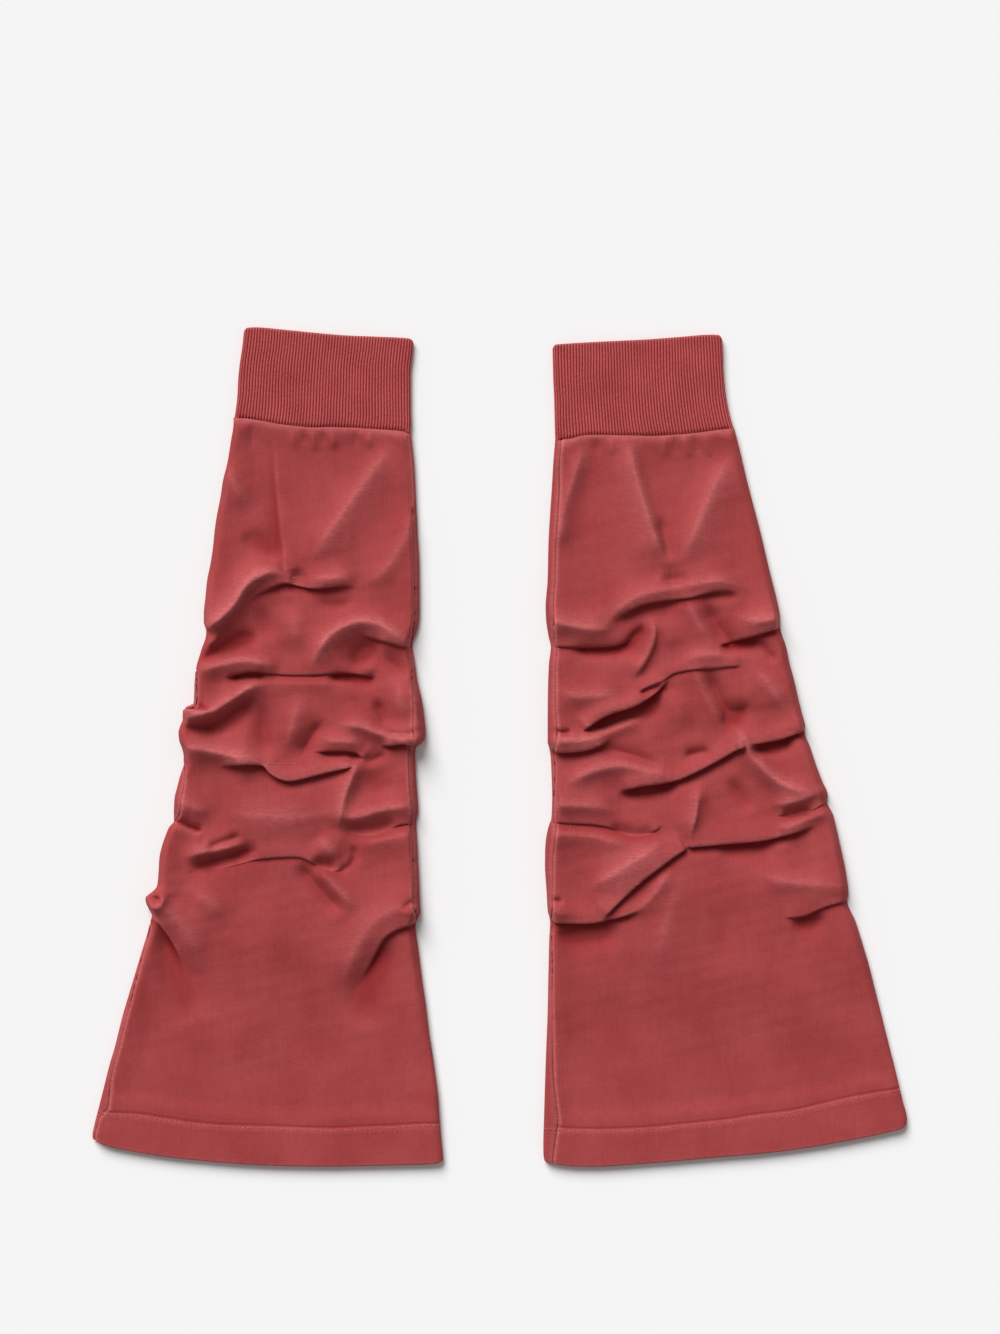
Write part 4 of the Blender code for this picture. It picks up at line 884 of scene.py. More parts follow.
def backRow(leg, v):
    # One row of a back panel: outer places, inner places, flat places, the arc from the nearer seam,
    # and which columns lie on the floor.
    shape = legs[leg]
    curlColumns = 11
    floorColumns = 41
    width, sides = rowEnds(leg, v)
    curls = []
    for (radius, turn, inset), way in zip(sides, (1, -1)):
        startTurn = min(turn, math.radians(80))
        flatPart = max(inset - radius * (1 - math.cos(startTurn)), 0)
        step = min(1.0, 0.5 * flatPart)
        onTop = [(inset, 0.0), (inset - step, step)] if flatPart > 0 else []
        curl = [(inOut, startTurn, radius, arc, way) for inOut, arc in onTop]
        for angle in np.linspace(startTurn, -math.pi / 2, curlColumns - len(onTop)):
            arc = flatPart + radius * (startTurn - angle)
            curl.append((radius * (1 - math.cos(angle)), angle, radius, arc, way))
        curls.append(curl)
    left, right = curls[0], curls[1][::-1]
    start, end = left[-1][0], width - right[0][0]
    floor = [(at, None, 0, 99, 1) for at in np.linspace(start, end, floorColumns + 2)[1:-1]]
    row = left + floor + right
    inside = np.array([inOut if way > 0 else width - inOut for inOut, _, _, _, way in row])
    x, y = patchPoint(shape, legCurves, inside / width, v)
    wall = wallAt(leg, x, y)
    top = clothSurface(leg, x, y)[0]
    outer = np.stack([x, y, np.zeros(len(row))], -1)
    inner = np.stack([x, y, wall], -1)
    for n, (inOut, angle, radius, _, way) in enumerate(row):
        if angle is None:
            continue
        hollow = max(radius - wall[n], 0.3)
        inner[n, 0] = x[n] - way * inOut + way * (radius - hollow * math.cos(angle))
        if angle > 0:
            outer[n] = top[n]
            inner[n, 2] = top[n, 2] - wall[n]
            if inOut > 0.85 * radius:
                inner[n, 0] = x[n]
        else:
            outer[n, 2] = radius + radius * math.sin(angle)
            inner[n, 2] = radius + hollow * math.sin(angle)
    arcs = [arc for _, _, _, arc, _ in row]
    onFloor = [float(angle is None) for _, angle, _, _, _ in row]
    return outer, inner, np.stack([x, y], -1), arcs, onFloor


def backPanel(leg):
    # The lower layer, flat on the surface below, with both sides curled up to the seams.
    shape = legs[leg]
    rows = [backRow(leg, v) for v in legRows(leg)[::2]]
    outer, inner, flat, arc, lift = (np.array(part) for part in zip(*rows))
    # shallow creases on the underside, where the tucks are tacked through to this layer's own folds
    x, y = flat[..., 0], flat[..., 1]
    crease = np.zeros(x.shape)
    for high, *_, points in shape["lips"]:
        run = smoothRun(points) + np.array([6.0, -9.0])
        near = closeTo(run, 12, x, y)
        if near.any():
            distance, along, length, _ = beside(run, x[near], y[near])
            ends = ease(along, 0, 0.3 * length) * ease(length - along, 0, 0.3 * length)
            crease[near] += cloth["underCrease"] * high * ends * bell(distance, 0, 2.2)
    outer[..., 2] += np.minimum(crease, 0.75) * lift
    # rounded ends at the hem and at the seam of the cuff
    aboveHem = np.clip(y - through(shape["hem"], x), 0, None)
    wall = wallAt(leg, x, y)
    inset = 0.5 * wall * roundOff(np.clip(1 - aboveHem / (0.5 * wall), 0, 1))
    outer[..., 2] += inset * lift
    inner[..., 2] -= inset * lift
    outer = outer + gridNormals(outer) * (cloth["seamDip"] * bell(arc, 0, 0.9))[..., None]
    wearAndPaintedLight = paintedLightAndWear["backSeam"] * bell(arc, 1.0, 1.0) + paintedLightAndWear["hemEdge"] * bell(aboveHem, 0, 1.4)
    return shellObject("jersey_back_" + leg, outer, inner, np.clip(wearAndPaintedLight, 0, 1), flat)


# The rib cuffs: 1x1 rib, folded double at the top edge.
cuffs = {
    "high": 5.6,                # both layers together
    "wall": 2.5,                # rib folded double
    "ribPitch": 1.74,
    "ribDeep": 0.55,
    "ribRound": 0.62,           # below 1 the ribs are broad and the grooves narrow
    "pointsPerRib": 8,
    "rows": 34,
    "sway": 0.10,               # how far ribs wander, as a share of their pitch
    "relief": 0.22,             # soft unevenness of the upper layer
    "seamTuck": 1.1,            # how far the lower end is pulled in at its seam
    "foldHold": 0.45,           # the share of the ribs' depth that is left on the fold at the top
}


def nodeIn(tree, kind, inputs=None, **settings):
    # Adds a node, with its settings and with values or links for its inputs.
    node = tree.nodes.new(kind)
    for key, value in settings.items():
        setattr(node, key, value)
    for key, value in (inputs or {}).items():
        if isinstance(value, bpy.types.NodeSocket):
            tree.links.new(value, node.inputs[key])
        else:
            node.inputs[key].default_value = value
    return node


def newTree(name, sockets):
    # A Geometry Nodes tree with a geometry input and output and the named inputs given.
    tree = bpy.data.node_groups.new(name, "GeometryNodeTree")
    tree.interface.new_socket("Geometry", in_out="INPUT", socket_type="NodeSocketGeometry")
    for label, kind, value in sockets:
        socket = tree.interface.new_socket(label, in_out="INPUT", socket_type=kind)
        if value is not None:
            socket.default_value = value
    tree.interface.new_socket("Geometry", in_out="OUTPUT", socket_type="NodeSocketGeometry")
    return tree, tree.nodes.new("NodeGroupInput"), tree.nodes.new("NodeGroupOutput")


def plainMesh(source):
    # What an object looks like with its modifiers, as a mesh of its own.
    graph = bpy.context.evaluated_depsgraph_get()
    return bpy.data.meshes.new_from_object(source.evaluated_get(graph))


def applyTree(piece, tree, values):
    # Runs a tree on a piece, with its inputs set by identifier, and keeps the result as a plain mesh.
    modifier = piece.modifiers.new(tree.name, "NODES")
    modifier.node_group = tree
    for item in tree.interface.items_tree:
        if item.item_type == "SOCKET" and item.in_out == "INPUT" and item.name in values:
            modifier[item.identifier] = values[item.name]
    data = plainMesh(piece)
    piece.modifiers.clear()
    old = piece.data
    data.name = old.name
    piece.data = data
    bpy.data.meshes.remove(old)
    return piece


def ribTree():
    # Cuts the grooves between the ribs of a cuff into its plain ring.
    tree, given, result = newTree("cut ribs", (
        ("Rib Depth", "NodeSocketFloat", 0.6), ("Rib Roundness", "NodeSocketFloat", 0.6),
        ("Rib Material", "NodeSocketMaterial", None),
    ))
    across = nodeIn(tree, "GeometryNodeInputNamedAttribute", {"Name": "ribAcross"}, data_type="FLOAT")
    hold = nodeIn(tree, "GeometryNodeInputNamedAttribute", {"Name": "ribHold"}, data_type="FLOAT")
    value = across.outputs["Attribute"]
    for operation, inputs in (
        ("MULTIPLY", {1: math.tau}),
        ("COSINE", {}),
        ("MULTIPLY_ADD", {1: 0.5, 2: 0.5}),
        ("POWER", {1: given.outputs["Rib Roundness"]}),
        ("SUBTRACT", {1: 1.0}),
        ("MULTIPLY", {1: given.outputs["Rib Depth"]}),
        ("MULTIPLY", {1: hold.outputs["Attribute"]}),
    ):
        value = nodeIn(tree, "ShaderNodeMath", {0: value, **inputs}, operation=operation).outputs[0]
    normal = nodeIn(tree, "GeometryNodeInputNormal")
    offset = nodeIn(tree, "ShaderNodeVectorMath", {0: normal.outputs[0], "Scale": value}, operation="SCALE")
    moved = nodeIn(tree, "GeometryNodeSetPosition", {
        "Geometry": given.outputs["Geometry"], "Offset": offset.outputs[0]})
    real = nodeIn(tree, "GeometryNodeRealizeInstances", {"Geometry": moved.outputs[0]})
    dressed = nodeIn(tree, "GeometryNodeSetMaterial", {
        "Geometry": real.outputs[0], "Material": given.outputs["Rib Material"]})
    tree.links.new(dressed.outputs[0], result.inputs[0])
    return tree


def ringPoint(s, width, radius, ring, tuckIn):
    # x and z of a point on a flattened ring, s along its outside from the left end of its top.
    flatTop = width - 2 * radius
    bend = math.pi * radius
    if s < flatTop:
        return radius + s, radius + ring - tuckIn
    if s < flatTop + bend:
        a = math.pi / 2 - (s - flatTop) / radius
        return width - radius + ring * math.cos(a), radius + ring * math.sin(a)
    if s < 2 * flatTop + bend:
        return width - radius - (s - flatTop - bend), radius - ring
    a = -math.pi / 2 - (s - 2 * flatTop - bend) / radius
    return radius + ring * math.cos(a), radius + ring * math.sin(a)


def cuffSkin(leg, downs, length, ribs, inner):
    # One skin of a cuff: places, and for the ribs where each point is across them and how deep they are.
    shape = legs[leg]
    radius = cuffs["high"] / 2
    half = cuffs["wall"] / 2
    spots = ribs * (2 if inner else cuffs["pointsPerRib"])
    rows = []
    for down in downs:
        v = min(down / length, 1.0)
        leftX = float(patchPoint(shape, cuffCurves, 0.0, v)[0])
        width = float(patchPoint(shape, cuffCurves, 1.0, v)[0]) - leftX
        rim = min(max(1 - down / half, 0), 1)
        inset = half * (1 - math.sqrt(1 - rim**2))
        if inner:
            inset = cuffs["wall"] - inset
        tuckIn = 0.0 if inner else cuffs["seamTuck"] * math.exp(-(length - down) ** 2)
        share = np.arange(spots) / spots * 2 * (width - 2 * radius + math.pi * radius)
        section = np.array([ringPoint(s, width, radius, radius - inset, tuckIn) for s in share])
        y = patchPoint(shape, cuffCurves, np.clip(section[:, 0] / width, 0, 1), v)[1]
        x = leftX + section[:, 0]
        relief = cuffs["relief"] * unevenness(x, y, 11, 14, 60) * ease(section[:, 1], radius, 2 * radius)
        relief = relief * ease(down, 0, 6) * (0.0 if inner else 1.0)
        sway = cuffs["sway"] * unevenness(x, y, 5, 18, 70)
        deep = 0.0 if inner else cuffs["foldHold"] + (1 - cuffs["foldHold"]) * float(ease(down, 0, 2.4))
        rows.append((
            np.stack([x, y, section[:, 1] + relief], -1), np.arange(spots) / spots * ribs + sway,
            np.full(spots, deep), np.stack([share, np.full(spots, -down)], -1),
        ))
    return [np.array(part) for part in zip(*rows)]


def cuffRing(leg, tree, material):
    # A flattened ring: outer skin with a point for each eighth of a rib, plain inner skin.
    shape = legs[leg]
    length = middleOf(shape["cuffTop"]) - middleOf(shape["cuffSeam"])
    downs = [0, 0.12, 0.35, 0.7, 1.1, 1.6, 2.3]
    downs += list(np.linspace(3.2, length - 2.2, cuffs["rows"]))
    downs += [length - 1.2, length - 0.5, length]
    midX = [patchPoint(shape, cuffCurves, u, 0.5)[0] for u in (0.0, 1.0)]
    around = 2 * (midX[1] - midX[0] - cuffs["high"]) + math.pi * cuffs["high"]
    ribs = round(around / cuffs["ribPitch"])
    outer, outAcross, outHold, outFlat = cuffSkin(leg, downs, length, ribs, False)
    inner, inAcross, inHold, inFlat = cuffSkin(leg, downs[::4] + [downs[-1]], length, ribs, True)
    outIndex = np.arange(outer.shape[0] * outer.shape[1]).reshape(outer.shape[:2])
    inIndex = outIndex.size + np.arange(inner.shape[0] * inner.shape[1]).reshape(inner.shape[:2])
    faces = []
    for index in (outIndex, inIndex):
        following = np.roll(index, -1, axis=1)
        quads = np.stack([index[:-1], index[1:], following[1:], following[:-1]], -1).reshape(-1, 4)
        faces += quads.tolist()
    ratio = outer.shape[1] // inner.shape[1]
    for outRim, inRim in ((outIndex[0], inIndex[0]), (outIndex[-1], inIndex[-1])):
        for k in range(len(inRim)):
            following = (k + 1) % len(inRim)
            for m in range(ratio):
                a = outRim[(k * ratio + m) % len(outRim)]
                b = outRim[(k * ratio + m + 1) % len(outRim)]
                faces.append((a, b, inRim[k] if m < ratio // 2 else inRim[following]))
                if m == ratio // 2 - 1:
                    faces.append((b, inRim[following], inRim[k]))
    points = np.concatenate([outer.reshape(-1, 3), inner.reshape(-1, 3)])
    flats = np.concatenate([outFlat.reshape(-1, 2), inFlat.reshape(-1, 2)])
    wearAndPaintedLight = paintedLightAndWear["cuffEdge"] * bell(-flats[:, 1], 0, 1.8)
    piece = meshObject("rib_cuff_" + leg, toPart(points), faces, wearAndPaintedLight, flats * mm)
    for label, parts in (("ribAcross", (outAcross, inAcross)), ("ribHold", (outHold, inHold))):
        attribute = piece.data.attributes.new(label, "FLOAT", "POINT")
        values = np.concatenate([part.reshape(-1) for part in parts])
        attribute.data.foreach_set("value", values.astype(np.float32))
    applyTree(piece, tree, {
        "Rib Depth": cuffs["ribDeep"] * mm, "Rib Roundness": cuffs["ribRound"], "Rib Material": material})
    piece.data.shade_smooth()
    return piece


# Stitching: hem coverstitch, the tacks that hold the tucks, and loose ends of thread.
stitching = {
    "hem": {"Stitch Length": 2.5, "Pitch": 2.9, "Thickness": 0.62, "Slant": 0.0, "Unevenness": 0.12},
    "hemLower": {"Stitch Length": 1.6, "Pitch": 2.9, "Thickness": 0.4, "Slant": 0.1, "Unevenness": 0.3},
    "tack": {"Stitch Length": 1.25, "Pitch": 0.85, "Thickness": 0.5, "Slant": 1.2, "Unevenness": 0.25},
    "hemSink": 0.12,            # the rows lie this deep in the cloth
    "lowerSink": 0.16,          # and the lower row this much deeper
    "belowTable": 0.4,          # the upper row is this far below its place in the table
    "lowerRow": 2.4,            # distance between the two rows of the hem
    "tackLift": 0.1,
    "threadEnd": 0.3,           # thickness of a loose end
    "threadRise": (0.3, 0.8),   # height of a loose end over the cloth, where it starts and where it ends
}


def stitchTree():
    # Lays short round stitches along a run of edges.
    tree, given, result = newTree("lay stitches", (
        ("Stitch Length", "NodeSocketFloat", 0.0025), ("Pitch", "NodeSocketFloat", 0.003),
        ("Thickness", "NodeSocketFloat", 0.0005), ("Slant", "NodeSocketFloat", 0.0),
        ("Unevenness", "NodeSocketFloat", 0.1), ("Thread Material", "NodeSocketMaterial", None),
    ))
    curve = nodeIn(tree, "GeometryNodeMeshToCurve", {"Mesh": given.outputs["Geometry"]})
    spaced = nodeIn(tree, "GeometryNodeResampleCurve", {
        "Curve": curve.outputs[0], "Length": given.outputs["Pitch"]}, mode="LENGTH")
    tangent = nodeIn(tree, "GeometryNodeInputTangent")
    aligned = nodeIn(tree, "FunctionNodeAlignRotationToVector", {"Vector": tangent.outputs[0]}, axis="X")
    wobble = nodeIn(tree, "FunctionNodeRandomValue", {2: -1.0, 3: 1.0, "Seed": 4}, data_type="FLOAT")
    stray = nodeIn(tree, "ShaderNodeMath", {
        0: wobble.outputs[1], 1: given.outputs["Unevenness"]}, operation="MULTIPLY")
    lean = nodeIn(tree, "ShaderNodeMath", {0: stray.outputs[0], 1: given.outputs["Slant"]}, operation="ADD")
    turn = nodeIn(tree, "ShaderNodeCombineXYZ", {"Z": lean.outputs[0]})
    turned = nodeIn(tree, "FunctionNodeRotateRotation", {
        "Rotation": aligned.outputs[0], "Rotate By": turn.outputs[0]}, rotation_space="LOCAL")
    ball = nodeIn(tree, "GeometryNodeMeshUVSphere", {"Segments": 6, "Rings": 5, "Radius": 0.5})
    grow = nodeIn(tree, "ShaderNodeMath", {0: stray.outputs[0], 1: 1.0}, operation="ADD")
    long = nodeIn(tree, "ShaderNodeMath", {
        0: grow.outputs[0], 1: given.outputs["Stitch Length"]}, operation="MULTIPLY")
    size = nodeIn(tree, "ShaderNodeCombineXYZ", {
        "X": long.outputs[0], "Y": given.outputs["Thickness"], "Z": given.outputs["Thickness"]})
    laid = nodeIn(tree, "GeometryNodeInstanceOnPoints", {
        "Points": spaced.outputs[0], "Instance": ball.outputs[0], "Rotation": turned.outputs[0],
        "Scale": size.outputs[0]})
    real = nodeIn(tree, "GeometryNodeRealizeInstances", {"Geometry": laid.outputs[0]})
    smooth = nodeIn(tree, "GeometryNodeSetShadeSmooth", {"Geometry": real.outputs[0]})
    dressed = nodeIn(tree, "GeometryNodeSetMaterial", {
        "Geometry": smooth.outputs[0], "Material": given.outputs["Thread Material"]})
    tree.links.new(dressed.outputs[0], result.inputs[0])
    return tree


def stitchRow(name, places, tree, settings, material):
    # One row of stitches through the places given, in the tables' millimetres.
    data = bpy.data.meshes.new(name)
    points = toPart(places).tolist()
    data.from_pydata(points, [(n, n + 1) for n in range(len(points) - 1)], [])
    plain = ("Slant", "Unevenness")
    values = {key: value if key in plain else value * mm for key, value in settings.items()}
    values["Thread Material"] = material
    return applyTree(linkObject(name, data), tree, values)


def hemRow(leg, lower):
    # The run of one row of the hem's stitching on the upper layer, between the side seams.
    shape = legs[leg]
    drop = stitching["lowerRow"] if lower else 0.0
    sink = stitching["hemSink"] + (stitching["lowerSink"] if lower else 0.0)
    x = np.linspace(shape["hemStitch"][0][0], shape["hemStitch"][-1][0], 160)
    y = through(shape["hemStitch"], x) - drop - stitching["belowTable"]
    x = np.clip(x, edgeAt(shape["leftEdge"], y) + 1.0, edgeAt(shape["rightEdge"], y) - 1.0)
    places = clothSurface(leg, x, y)[0]
    places[:, 2] += 0.5 * stitching["hem"]["Thickness"] - sink
    return places


def onCloth(leg, points, lift):
    # A run laid on the cloth, this far over it at its start and at its end.
    run = smoothRun(points)
    places = clothSurface(leg, run[:, 0], run[:, 1])[0]
    places[:, 2] += np.linspace(lift[0], lift[1], len(places))
    return places


def threadEnd(name, leg, points, material):
    # A loose end of thread: a thin round tube that lies on the cloth.
    places = toPart(onCloth(leg, points, stitching["threadRise"]))
    line = bpy.data.curves.new(name, "CURVE")
    line.dimensions = "3D"
    line.bevel_depth = stitching["threadEnd"] / 2 * mm
    line.bevel_resolution = 1
    line.use_fill_caps = True
    spline = line.splines.new("POLY")
    spline.points.add(len(places) - 1)
    for point, place in zip(spline.points, places):
        point.co = (*place, 1.0)
    holder = linkObject(name + "_line", line)
    data = plainMesh(holder)
    bpy.data.objects.remove(holder)
    data.materials.clear()
    data.materials.append(material)
    data.shade_smooth()
    return linkObject(name, data)


# What the materials are, as sRGB hex colours.
colours = {
    # the darkest red is painted shade for creases and hollows, and the palest pink is rubbed wear and
    # painted highlight
    "jersey": {
        "paintedShade": "#84161A", "deep": "#963839", "mid": "#9F4142", "light": "#A84849", "wearAndPaintedLight": "#C76F70"},
    # the groove colour is painted shade between the ribs, the crest colour painted highlight on their backs
    "rib": {"groove": "#7E2325", "crest": "#C15A5B", "wearAndPaintedLight": "#CC7676"},
    "thread": {"dark": "#96403F", "light": "#BC6667"},
    "nap": {"sheen": "#E8A9A6"},
    "paper": {"floor": "#F3F3F3"},
}

# The marks in each knit: how wide and how long they are in mm, how detailed, and how rough. Wales are
# 0.9 mm apart on the real jersey and drawn 1.3 mm apart, and a loop is 1 mm long on the real rib and
# drawn 1.6 mm long, so that they show at this size.
marks = {
    "wales": (1.3, 22, 2.0, 0.6),
    "flecks": (4.2, 1.3, 3.0, 0.65),
    "jerseyClouds": (34, 34, 3.0, 0.55),
    "loops": (1.2, 1.6, 2.0, 0.6),
    "ribClouds": (20, 20, 3.0, 0.6),
}


def linearColour(code):
    # An sRGB hex colour as linear red, green, blue and alpha.
    values = [int(code[n:n + 2], 16) / 255 for n in (1, 3, 5)]
    return (*[v / 12.92 if v <= 0.04045 else ((v + 0.055) / 1.055) ** 2.4 for v in values], 1.0)


def newMaterial(name, palette, finish):
    # A material and its linear colours, with what is the same all over on the shader's own sockets.
    material = bpy.data.materials.new(name)
    material.use_nodes = True
    tree = material.node_tree
    shader = tree.nodes["Principled BSDF"]
    for key, value in finish.items():
        shader.inputs[key].default_value = value
    return material, tree, shader, {key: linearColour(code) for key, code in colours[palette].items()}


def cottonFinish(roughness):
    # Napped cotton: nearly no gloss, and a faint pale sheen at the sides of each fold.
    return {
        "Roughness": roughness, "Specular IOR Level": 0.12, "Sheen Weight": 0.05, "Sheen Roughness": 0.5,
        "Sheen Tint": linearColour(colours["nap"]["sheen"]),
    }


def knitMarks(tree, names):
    # A noise for each kind of mark, laid out on the flat cloth.
    place = nodeIn(tree, "ShaderNodeUVMap", uv_map="cloth")
    made = []
    for name in names:
        wide, long, detail, roughness = marks[name]
        spot = nodeIn(tree, "ShaderNodeMapping", {
            "Vector": place.outputs[0], "Scale": (1 / (wide * mm), 1 / (long * mm), 1)})
        noise = nodeIn(tree, "ShaderNodeTexNoise", {
            "Vector": spot.outputs[0], "Scale": 1.0, "Detail": detail, "Roughness": roughness},
            noise_dimensions="2D")
        made.append(noise.outputs[0])
    return made


def jerseyMaterial():
    # Garment-dyed heavy cotton jersey: matt, with fine wales down its length, short flecks across them
    # where the dye took unevenly, broad clouds from the wash, a paler pink where an edge has rubbed and as
    # painted highlight where the cloth stands high, and a darker red as painted shade in creases and
    # hollows.
    material, tree, shader, tones = newMaterial("garment-dyed cotton jersey", "jersey", cottonFinish(0.92))
    wales, flecks, clouds = knitMarks(tree, ("wales", "flecks", "jerseyClouds"))
    knit = 0.0
    for noise, dark, share in ((wales, 0.3, 0.19), (flecks, 0.32, 0.27), (clouds, 0.3, 0.54)):
        part = nodeIn(tree, "ShaderNodeMapRange", {"Value": noise, "From Min": dark, "From Max": 0.7})
        knit = nodeIn(tree, "ShaderNodeMath", {
            0: part.outputs[0], 1: share, 2: knit}, operation="MULTIPLY_ADD").outputs[0]
    ramp = nodeIn(tree, "ShaderNodeValToRGB", {"Fac": knit})
    ramp.color_ramp.elements[0].color = tones["deep"]
    ramp.color_ramp.elements[1].color = tones["light"]
    ramp.color_ramp.elements[1].position = 1.0
    ramp.color_ramp.elements.new(0.52).color = tones["mid"]
    # the attribute: above zero rubbed wear and painted highlight, below zero painted shade
    wearAndPaintedLight = nodeIn(tree, "ShaderNodeAttribute", attribute_name="wearAndPaintedLight")
    # painted shade: a darker red mixed into the knit's colour in creases and hollows
    paintedShade = nodeIn(tree, "ShaderNodeMath", {
        0: wearAndPaintedLight.outputs["Fac"], 1: -0.85}, operation="MULTIPLY", use_clamp=True)
    dyed = nodeIn(tree, "ShaderNodeMix", {
        0: paintedShade.outputs[0], 6: ramp.outputs[0], 7: tones["paintedShade"]}, data_type="RGBA")
    # rubbed wear and painted highlight: the pale pink, laid in spots
    paleSpots = nodeIn(tree, "ShaderNodeMapRange", {
        "Value": flecks, "From Min": 0.25, "From Max": 0.75, "To Min": 0.3, "To Max": 0.9})
    share = nodeIn(tree, "ShaderNodeMath", {
        0: wearAndPaintedLight.outputs["Fac"], 1: paleSpots.outputs[0]}, operation="MULTIPLY", use_clamp=True)
    colour = nodeIn(tree, "ShaderNodeMix", {
        0: share.outputs[0], 6: dyed.outputs[2], 7: tones["wearAndPaintedLight"]}, data_type="RGBA")
    tree.links.new(colour.outputs[2], shader.inputs["Base Color"])
    relief = nodeIn(tree, "ShaderNodeMath", {0: wales, 1: 0.6}, operation="MULTIPLY")
    relief = nodeIn(tree, "ShaderNodeMath", {
        0: flecks, 1: 0.4, 2: relief.outputs[0]}, operation="MULTIPLY_ADD")
    bump = nodeIn(tree, "ShaderNodeBump", {
        "Strength": 0.4, "Distance": 0.0004, "Height": relief.outputs[0]})
    tree.links.new(bump.outputs[0], shader.inputs["Normal"])
    return material


def ribMaterial():
    # Garment-dyed 1x1 cotton rib: painted shade darkens the grooves and painted highlight lightens the
    # ribs' backs, and a rubbed edge is paler.
    material, tree, shader, tones = newMaterial("garment-dyed cotton rib", "rib", cottonFinish(0.9))
    loops, clouds = knitMarks(tree, ("loops", "ribClouds"))
    # painted shade and painted highlight across each rib: dark in its groove, pale on its back
    across = nodeIn(tree, "ShaderNodeAttribute", attribute_name="ribAcross")
    angle = nodeIn(tree, "ShaderNodeMath", {0: across.outputs["Fac"], 1: math.tau}, operation="MULTIPLY")
    wave = nodeIn(tree, "ShaderNodeMath", {0: angle.outputs[0]}, operation="COSINE")
    crest = nodeIn(tree, "ShaderNodeMapRange", {
        "Value": wave.outputs[0], "From Min": -0.95, "From Max": 0.3})
    mottle = nodeIn(tree, "ShaderNodeMath", {0: loops, 1: 0.9, 2: 0.15}, operation="MULTIPLY_ADD")
    mottle = nodeIn(tree, "ShaderNodeMath", {
        0: clouds, 1: 0.5, 2: mottle.outputs[0]}, operation="MULTIPLY_ADD")
    share = nodeIn(tree, "ShaderNodeMath", {
        0: crest.outputs[0], 1: mottle.outputs[0]}, operation="MULTIPLY", use_clamp=True)
    base = nodeIn(tree, "ShaderNodeMix", {
        0: share.outputs[0], 6: tones["groove"], 7: tones["crest"]}, data_type="RGBA")
    wearAndPaintedLight = nodeIn(tree, "ShaderNodeAttribute", attribute_name="wearAndPaintedLight")
    paleSpots = nodeIn(tree, "ShaderNodeMath", {0: wearAndPaintedLight.outputs["Fac"], 1: loops}, operation="MULTIPLY")
    colour = nodeIn(tree, "ShaderNodeMix", {
        0: paleSpots.outputs[0], 6: base.outputs[2], 7: tones["wearAndPaintedLight"]}, data_type="RGBA")
    tree.links.new(colour.outputs[2], shader.inputs["Base Color"])
    bump = nodeIn(tree, "ShaderNodeBump", {"Strength": 0.6, "Distance": 0.0004, "Height": loops})
    tree.links.new(bump.outputs[0], shader.inputs["Normal"])
    return material


def threadMaterial():
    # Spun polyester thread, dyed with the garment, so it stays a little paler than the cotton.
    material, tree, shader, tones = newMaterial(
        "spun polyester thread", "thread", {"Roughness": 0.6, "Sheen Weight": 0.1})
    place = nodeIn(tree, "ShaderNodeTexCoord")
    twist = nodeIn(tree, "ShaderNodeTexNoise", {
        "Vector": place.outputs["Object"], "Scale": 1 / 0.0016, "Detail": 1.0})
    share = nodeIn(tree, "ShaderNodeMapRange", {
        "Value": twist.outputs[0], "From Min": 0.3, "From Max": 0.7})
    colour = nodeIn(tree, "ShaderNodeMix", {
        0: share.outputs[0], 6: tones["dark"], 7: tones["light"]}, data_type="RGBA")
    tree.links.new(colour.outputs[2], shader.inputs["Base Color"])
    bump = nodeIn(tree, "ShaderNodeBump", {"Strength": 0.3, "Distance": 0.0002, "Height": twist.outputs[0]})
    tree.links.new(bump.outputs[0], shader.inputs["Normal"])
    return material


# The studio: a pale sweep, one soft light over the top left of the picture, and light all round.
studio = {
    "floorSize": 30.0,
    "lightHigh": 41.0,          # degrees above the table
    "lightTurn": -25.0,         # degrees to the right of the top of the picture
    "lightSoft": 38.0,          # degrees across, as seen from the cloth
    "lightPower": 3.60,
    "around": 0.27,
    "lens": 85.0,
    "sensor": 36.0,
    "frameHigh": 0.8004,        # what the picture takes in from top to bottom, in metres
    "frameMiddle": (0.0, 0.0479),
}


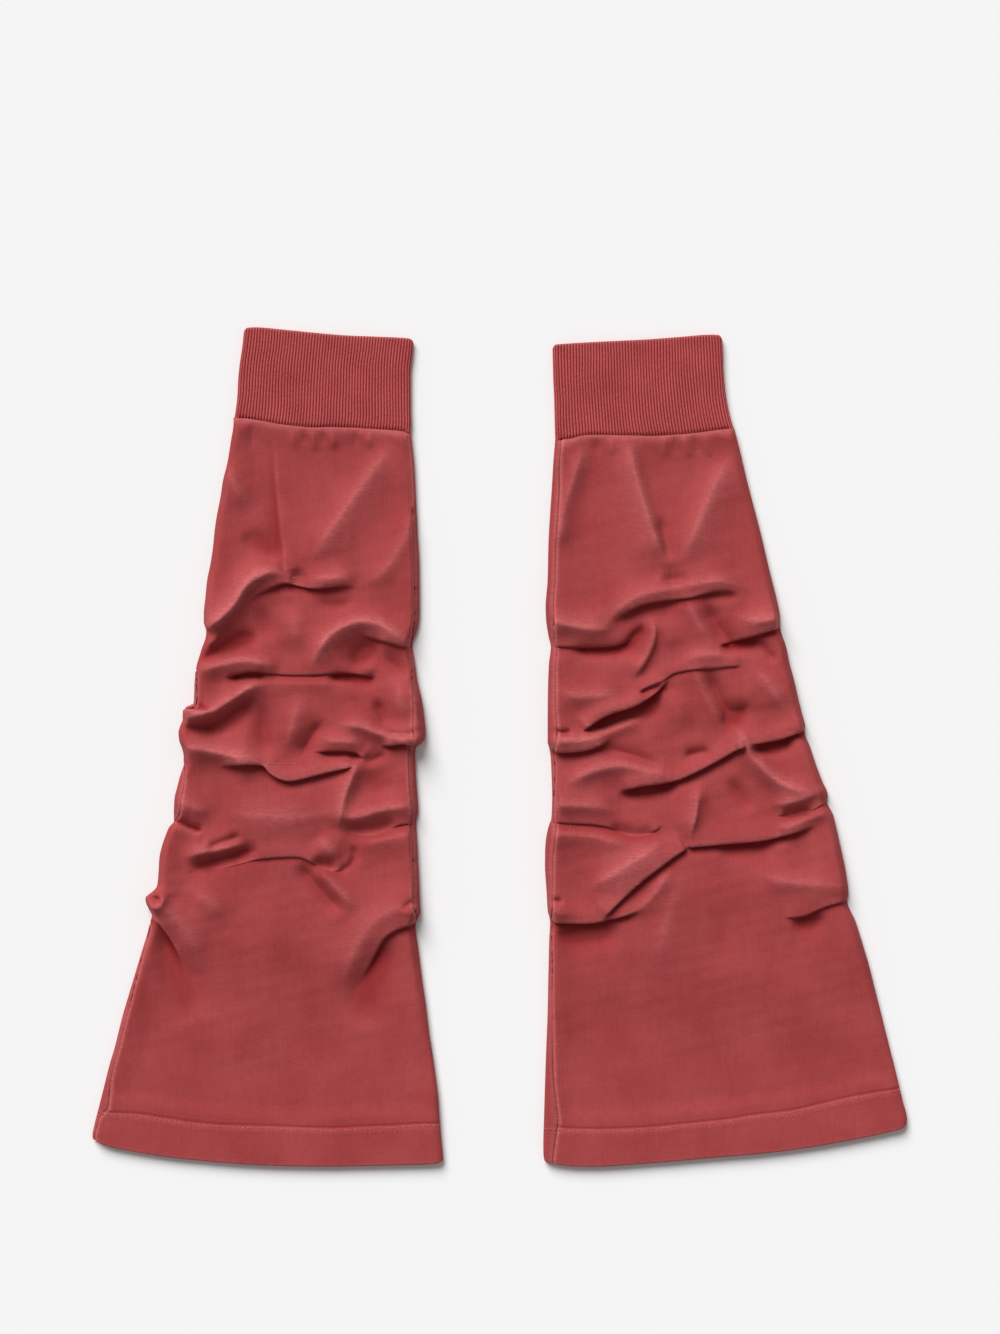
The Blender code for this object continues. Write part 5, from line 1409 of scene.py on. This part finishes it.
def buildStudio():
    scene = bpy.context.scene
    camera = bpy.data.cameras.new("camera")
    camera.lens = studio["lens"]
    camera.sensor_width = studio["sensor"]
    camera.clip_start = 0.05
    holder = linkObject("camera", camera)
    distance = studio["frameHigh"] * studio["lens"] / studio["sensor"]
    holder.location = (*studio["frameMiddle"], distance)
    scene.camera = holder
    half = studio["floorSize"] / 2
    corners = [(-half, -half, 0), (half, -half, 0), (half, half, 0), (-half, half, 0)]
    data = bpy.data.meshes.new("studio_floor")
    data.from_pydata(corners, [], [(0, 1, 2, 3)])
    floor = linkObject("studio_floor", data)
    material, _, shader, tones = newMaterial(
        "matt paper sweep", "paper", {"Roughness": 1.0, "Specular IOR Level": 0.0})
    shader.inputs["Base Color"].default_value = tones["floor"]
    data.materials.append(material)
    light = bpy.data.lights.new("soft_light", "SUN")
    light.angle = math.radians(studio["lightSoft"])
    light.energy = studio["lightPower"]
    lamp = linkObject("soft_light", light)
    high = math.radians(studio["lightHigh"])
    turn = math.radians(studio["lightTurn"])
    toLight = Vector((math.cos(high) * math.sin(turn), math.cos(high) * math.cos(turn), math.sin(high)))
    lamp.location = toLight * 2
    lamp.rotation_mode = "QUATERNION"
    lamp.rotation_quaternion = (-toLight).to_track_quat("-Z", "Y")
    world = bpy.data.worlds.new("studio")
    world.use_nodes = True
    background = world.node_tree.nodes["Background"]
    background.inputs["Color"].default_value = (1, 1, 1, 1)
    background.inputs["Strength"].default_value = studio["around"]
    scene.world = world
    scene.view_settings.view_transform = "Standard"


def declare(piece, node):
    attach(piece, "root")
    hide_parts(node)


def main():
    buildStudio()
    print("studio built")
    jersey = jerseyMaterial()
    rib = ribMaterial()
    thread = threadMaterial()
    print("materials made")
    ribs = ribTree()
    stitches = stitchTree()
    for leg in ("left", "right"):
        front = frontPanel(leg)
        front.data.materials.append(jersey)
        print("front panel", leg, len(front.data.polygons), "faces")
        back = backPanel(leg)
        back.data.materials.append(jersey)
        print("back panel", leg, len(back.data.polygons), "faces")
        cuff = cuffRing(leg, ribs, rib)
        print("cuff", leg, len(cuff.data.polygons), "faces")
        rows = [
            ("hem_stitches_" + leg, hemRow(leg, False), "hem"),
            ("hem_lower_stitches_" + leg, hemRow(leg, True), "hemLower"),
        ]
        lift = (stitching["tackLift"], stitching["tackLift"])
        for n, points in enumerate(legs[leg]["tacks"]):
            rows.append(("tack_%s_%d" % (leg, n + 1), onCloth(leg, points, lift), "tack"))
        sewn = [stitchRow(name, places, stitches, stitching[kind], thread) for name, places, kind in rows]
        for n, points in enumerate(legs[leg]["threads"]):
            sewn.append(threadEnd("thread_end_%s_%d" % (leg, n + 1), leg, points, thread))
        for piece in sewn:
            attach(piece, "root")
        print("stitching", leg, len(sewn), "pieces")
        declare(back, "back_" + leg)
        declare(front, "front_" + leg)
        declare(cuff, "cuff_" + leg)


main()
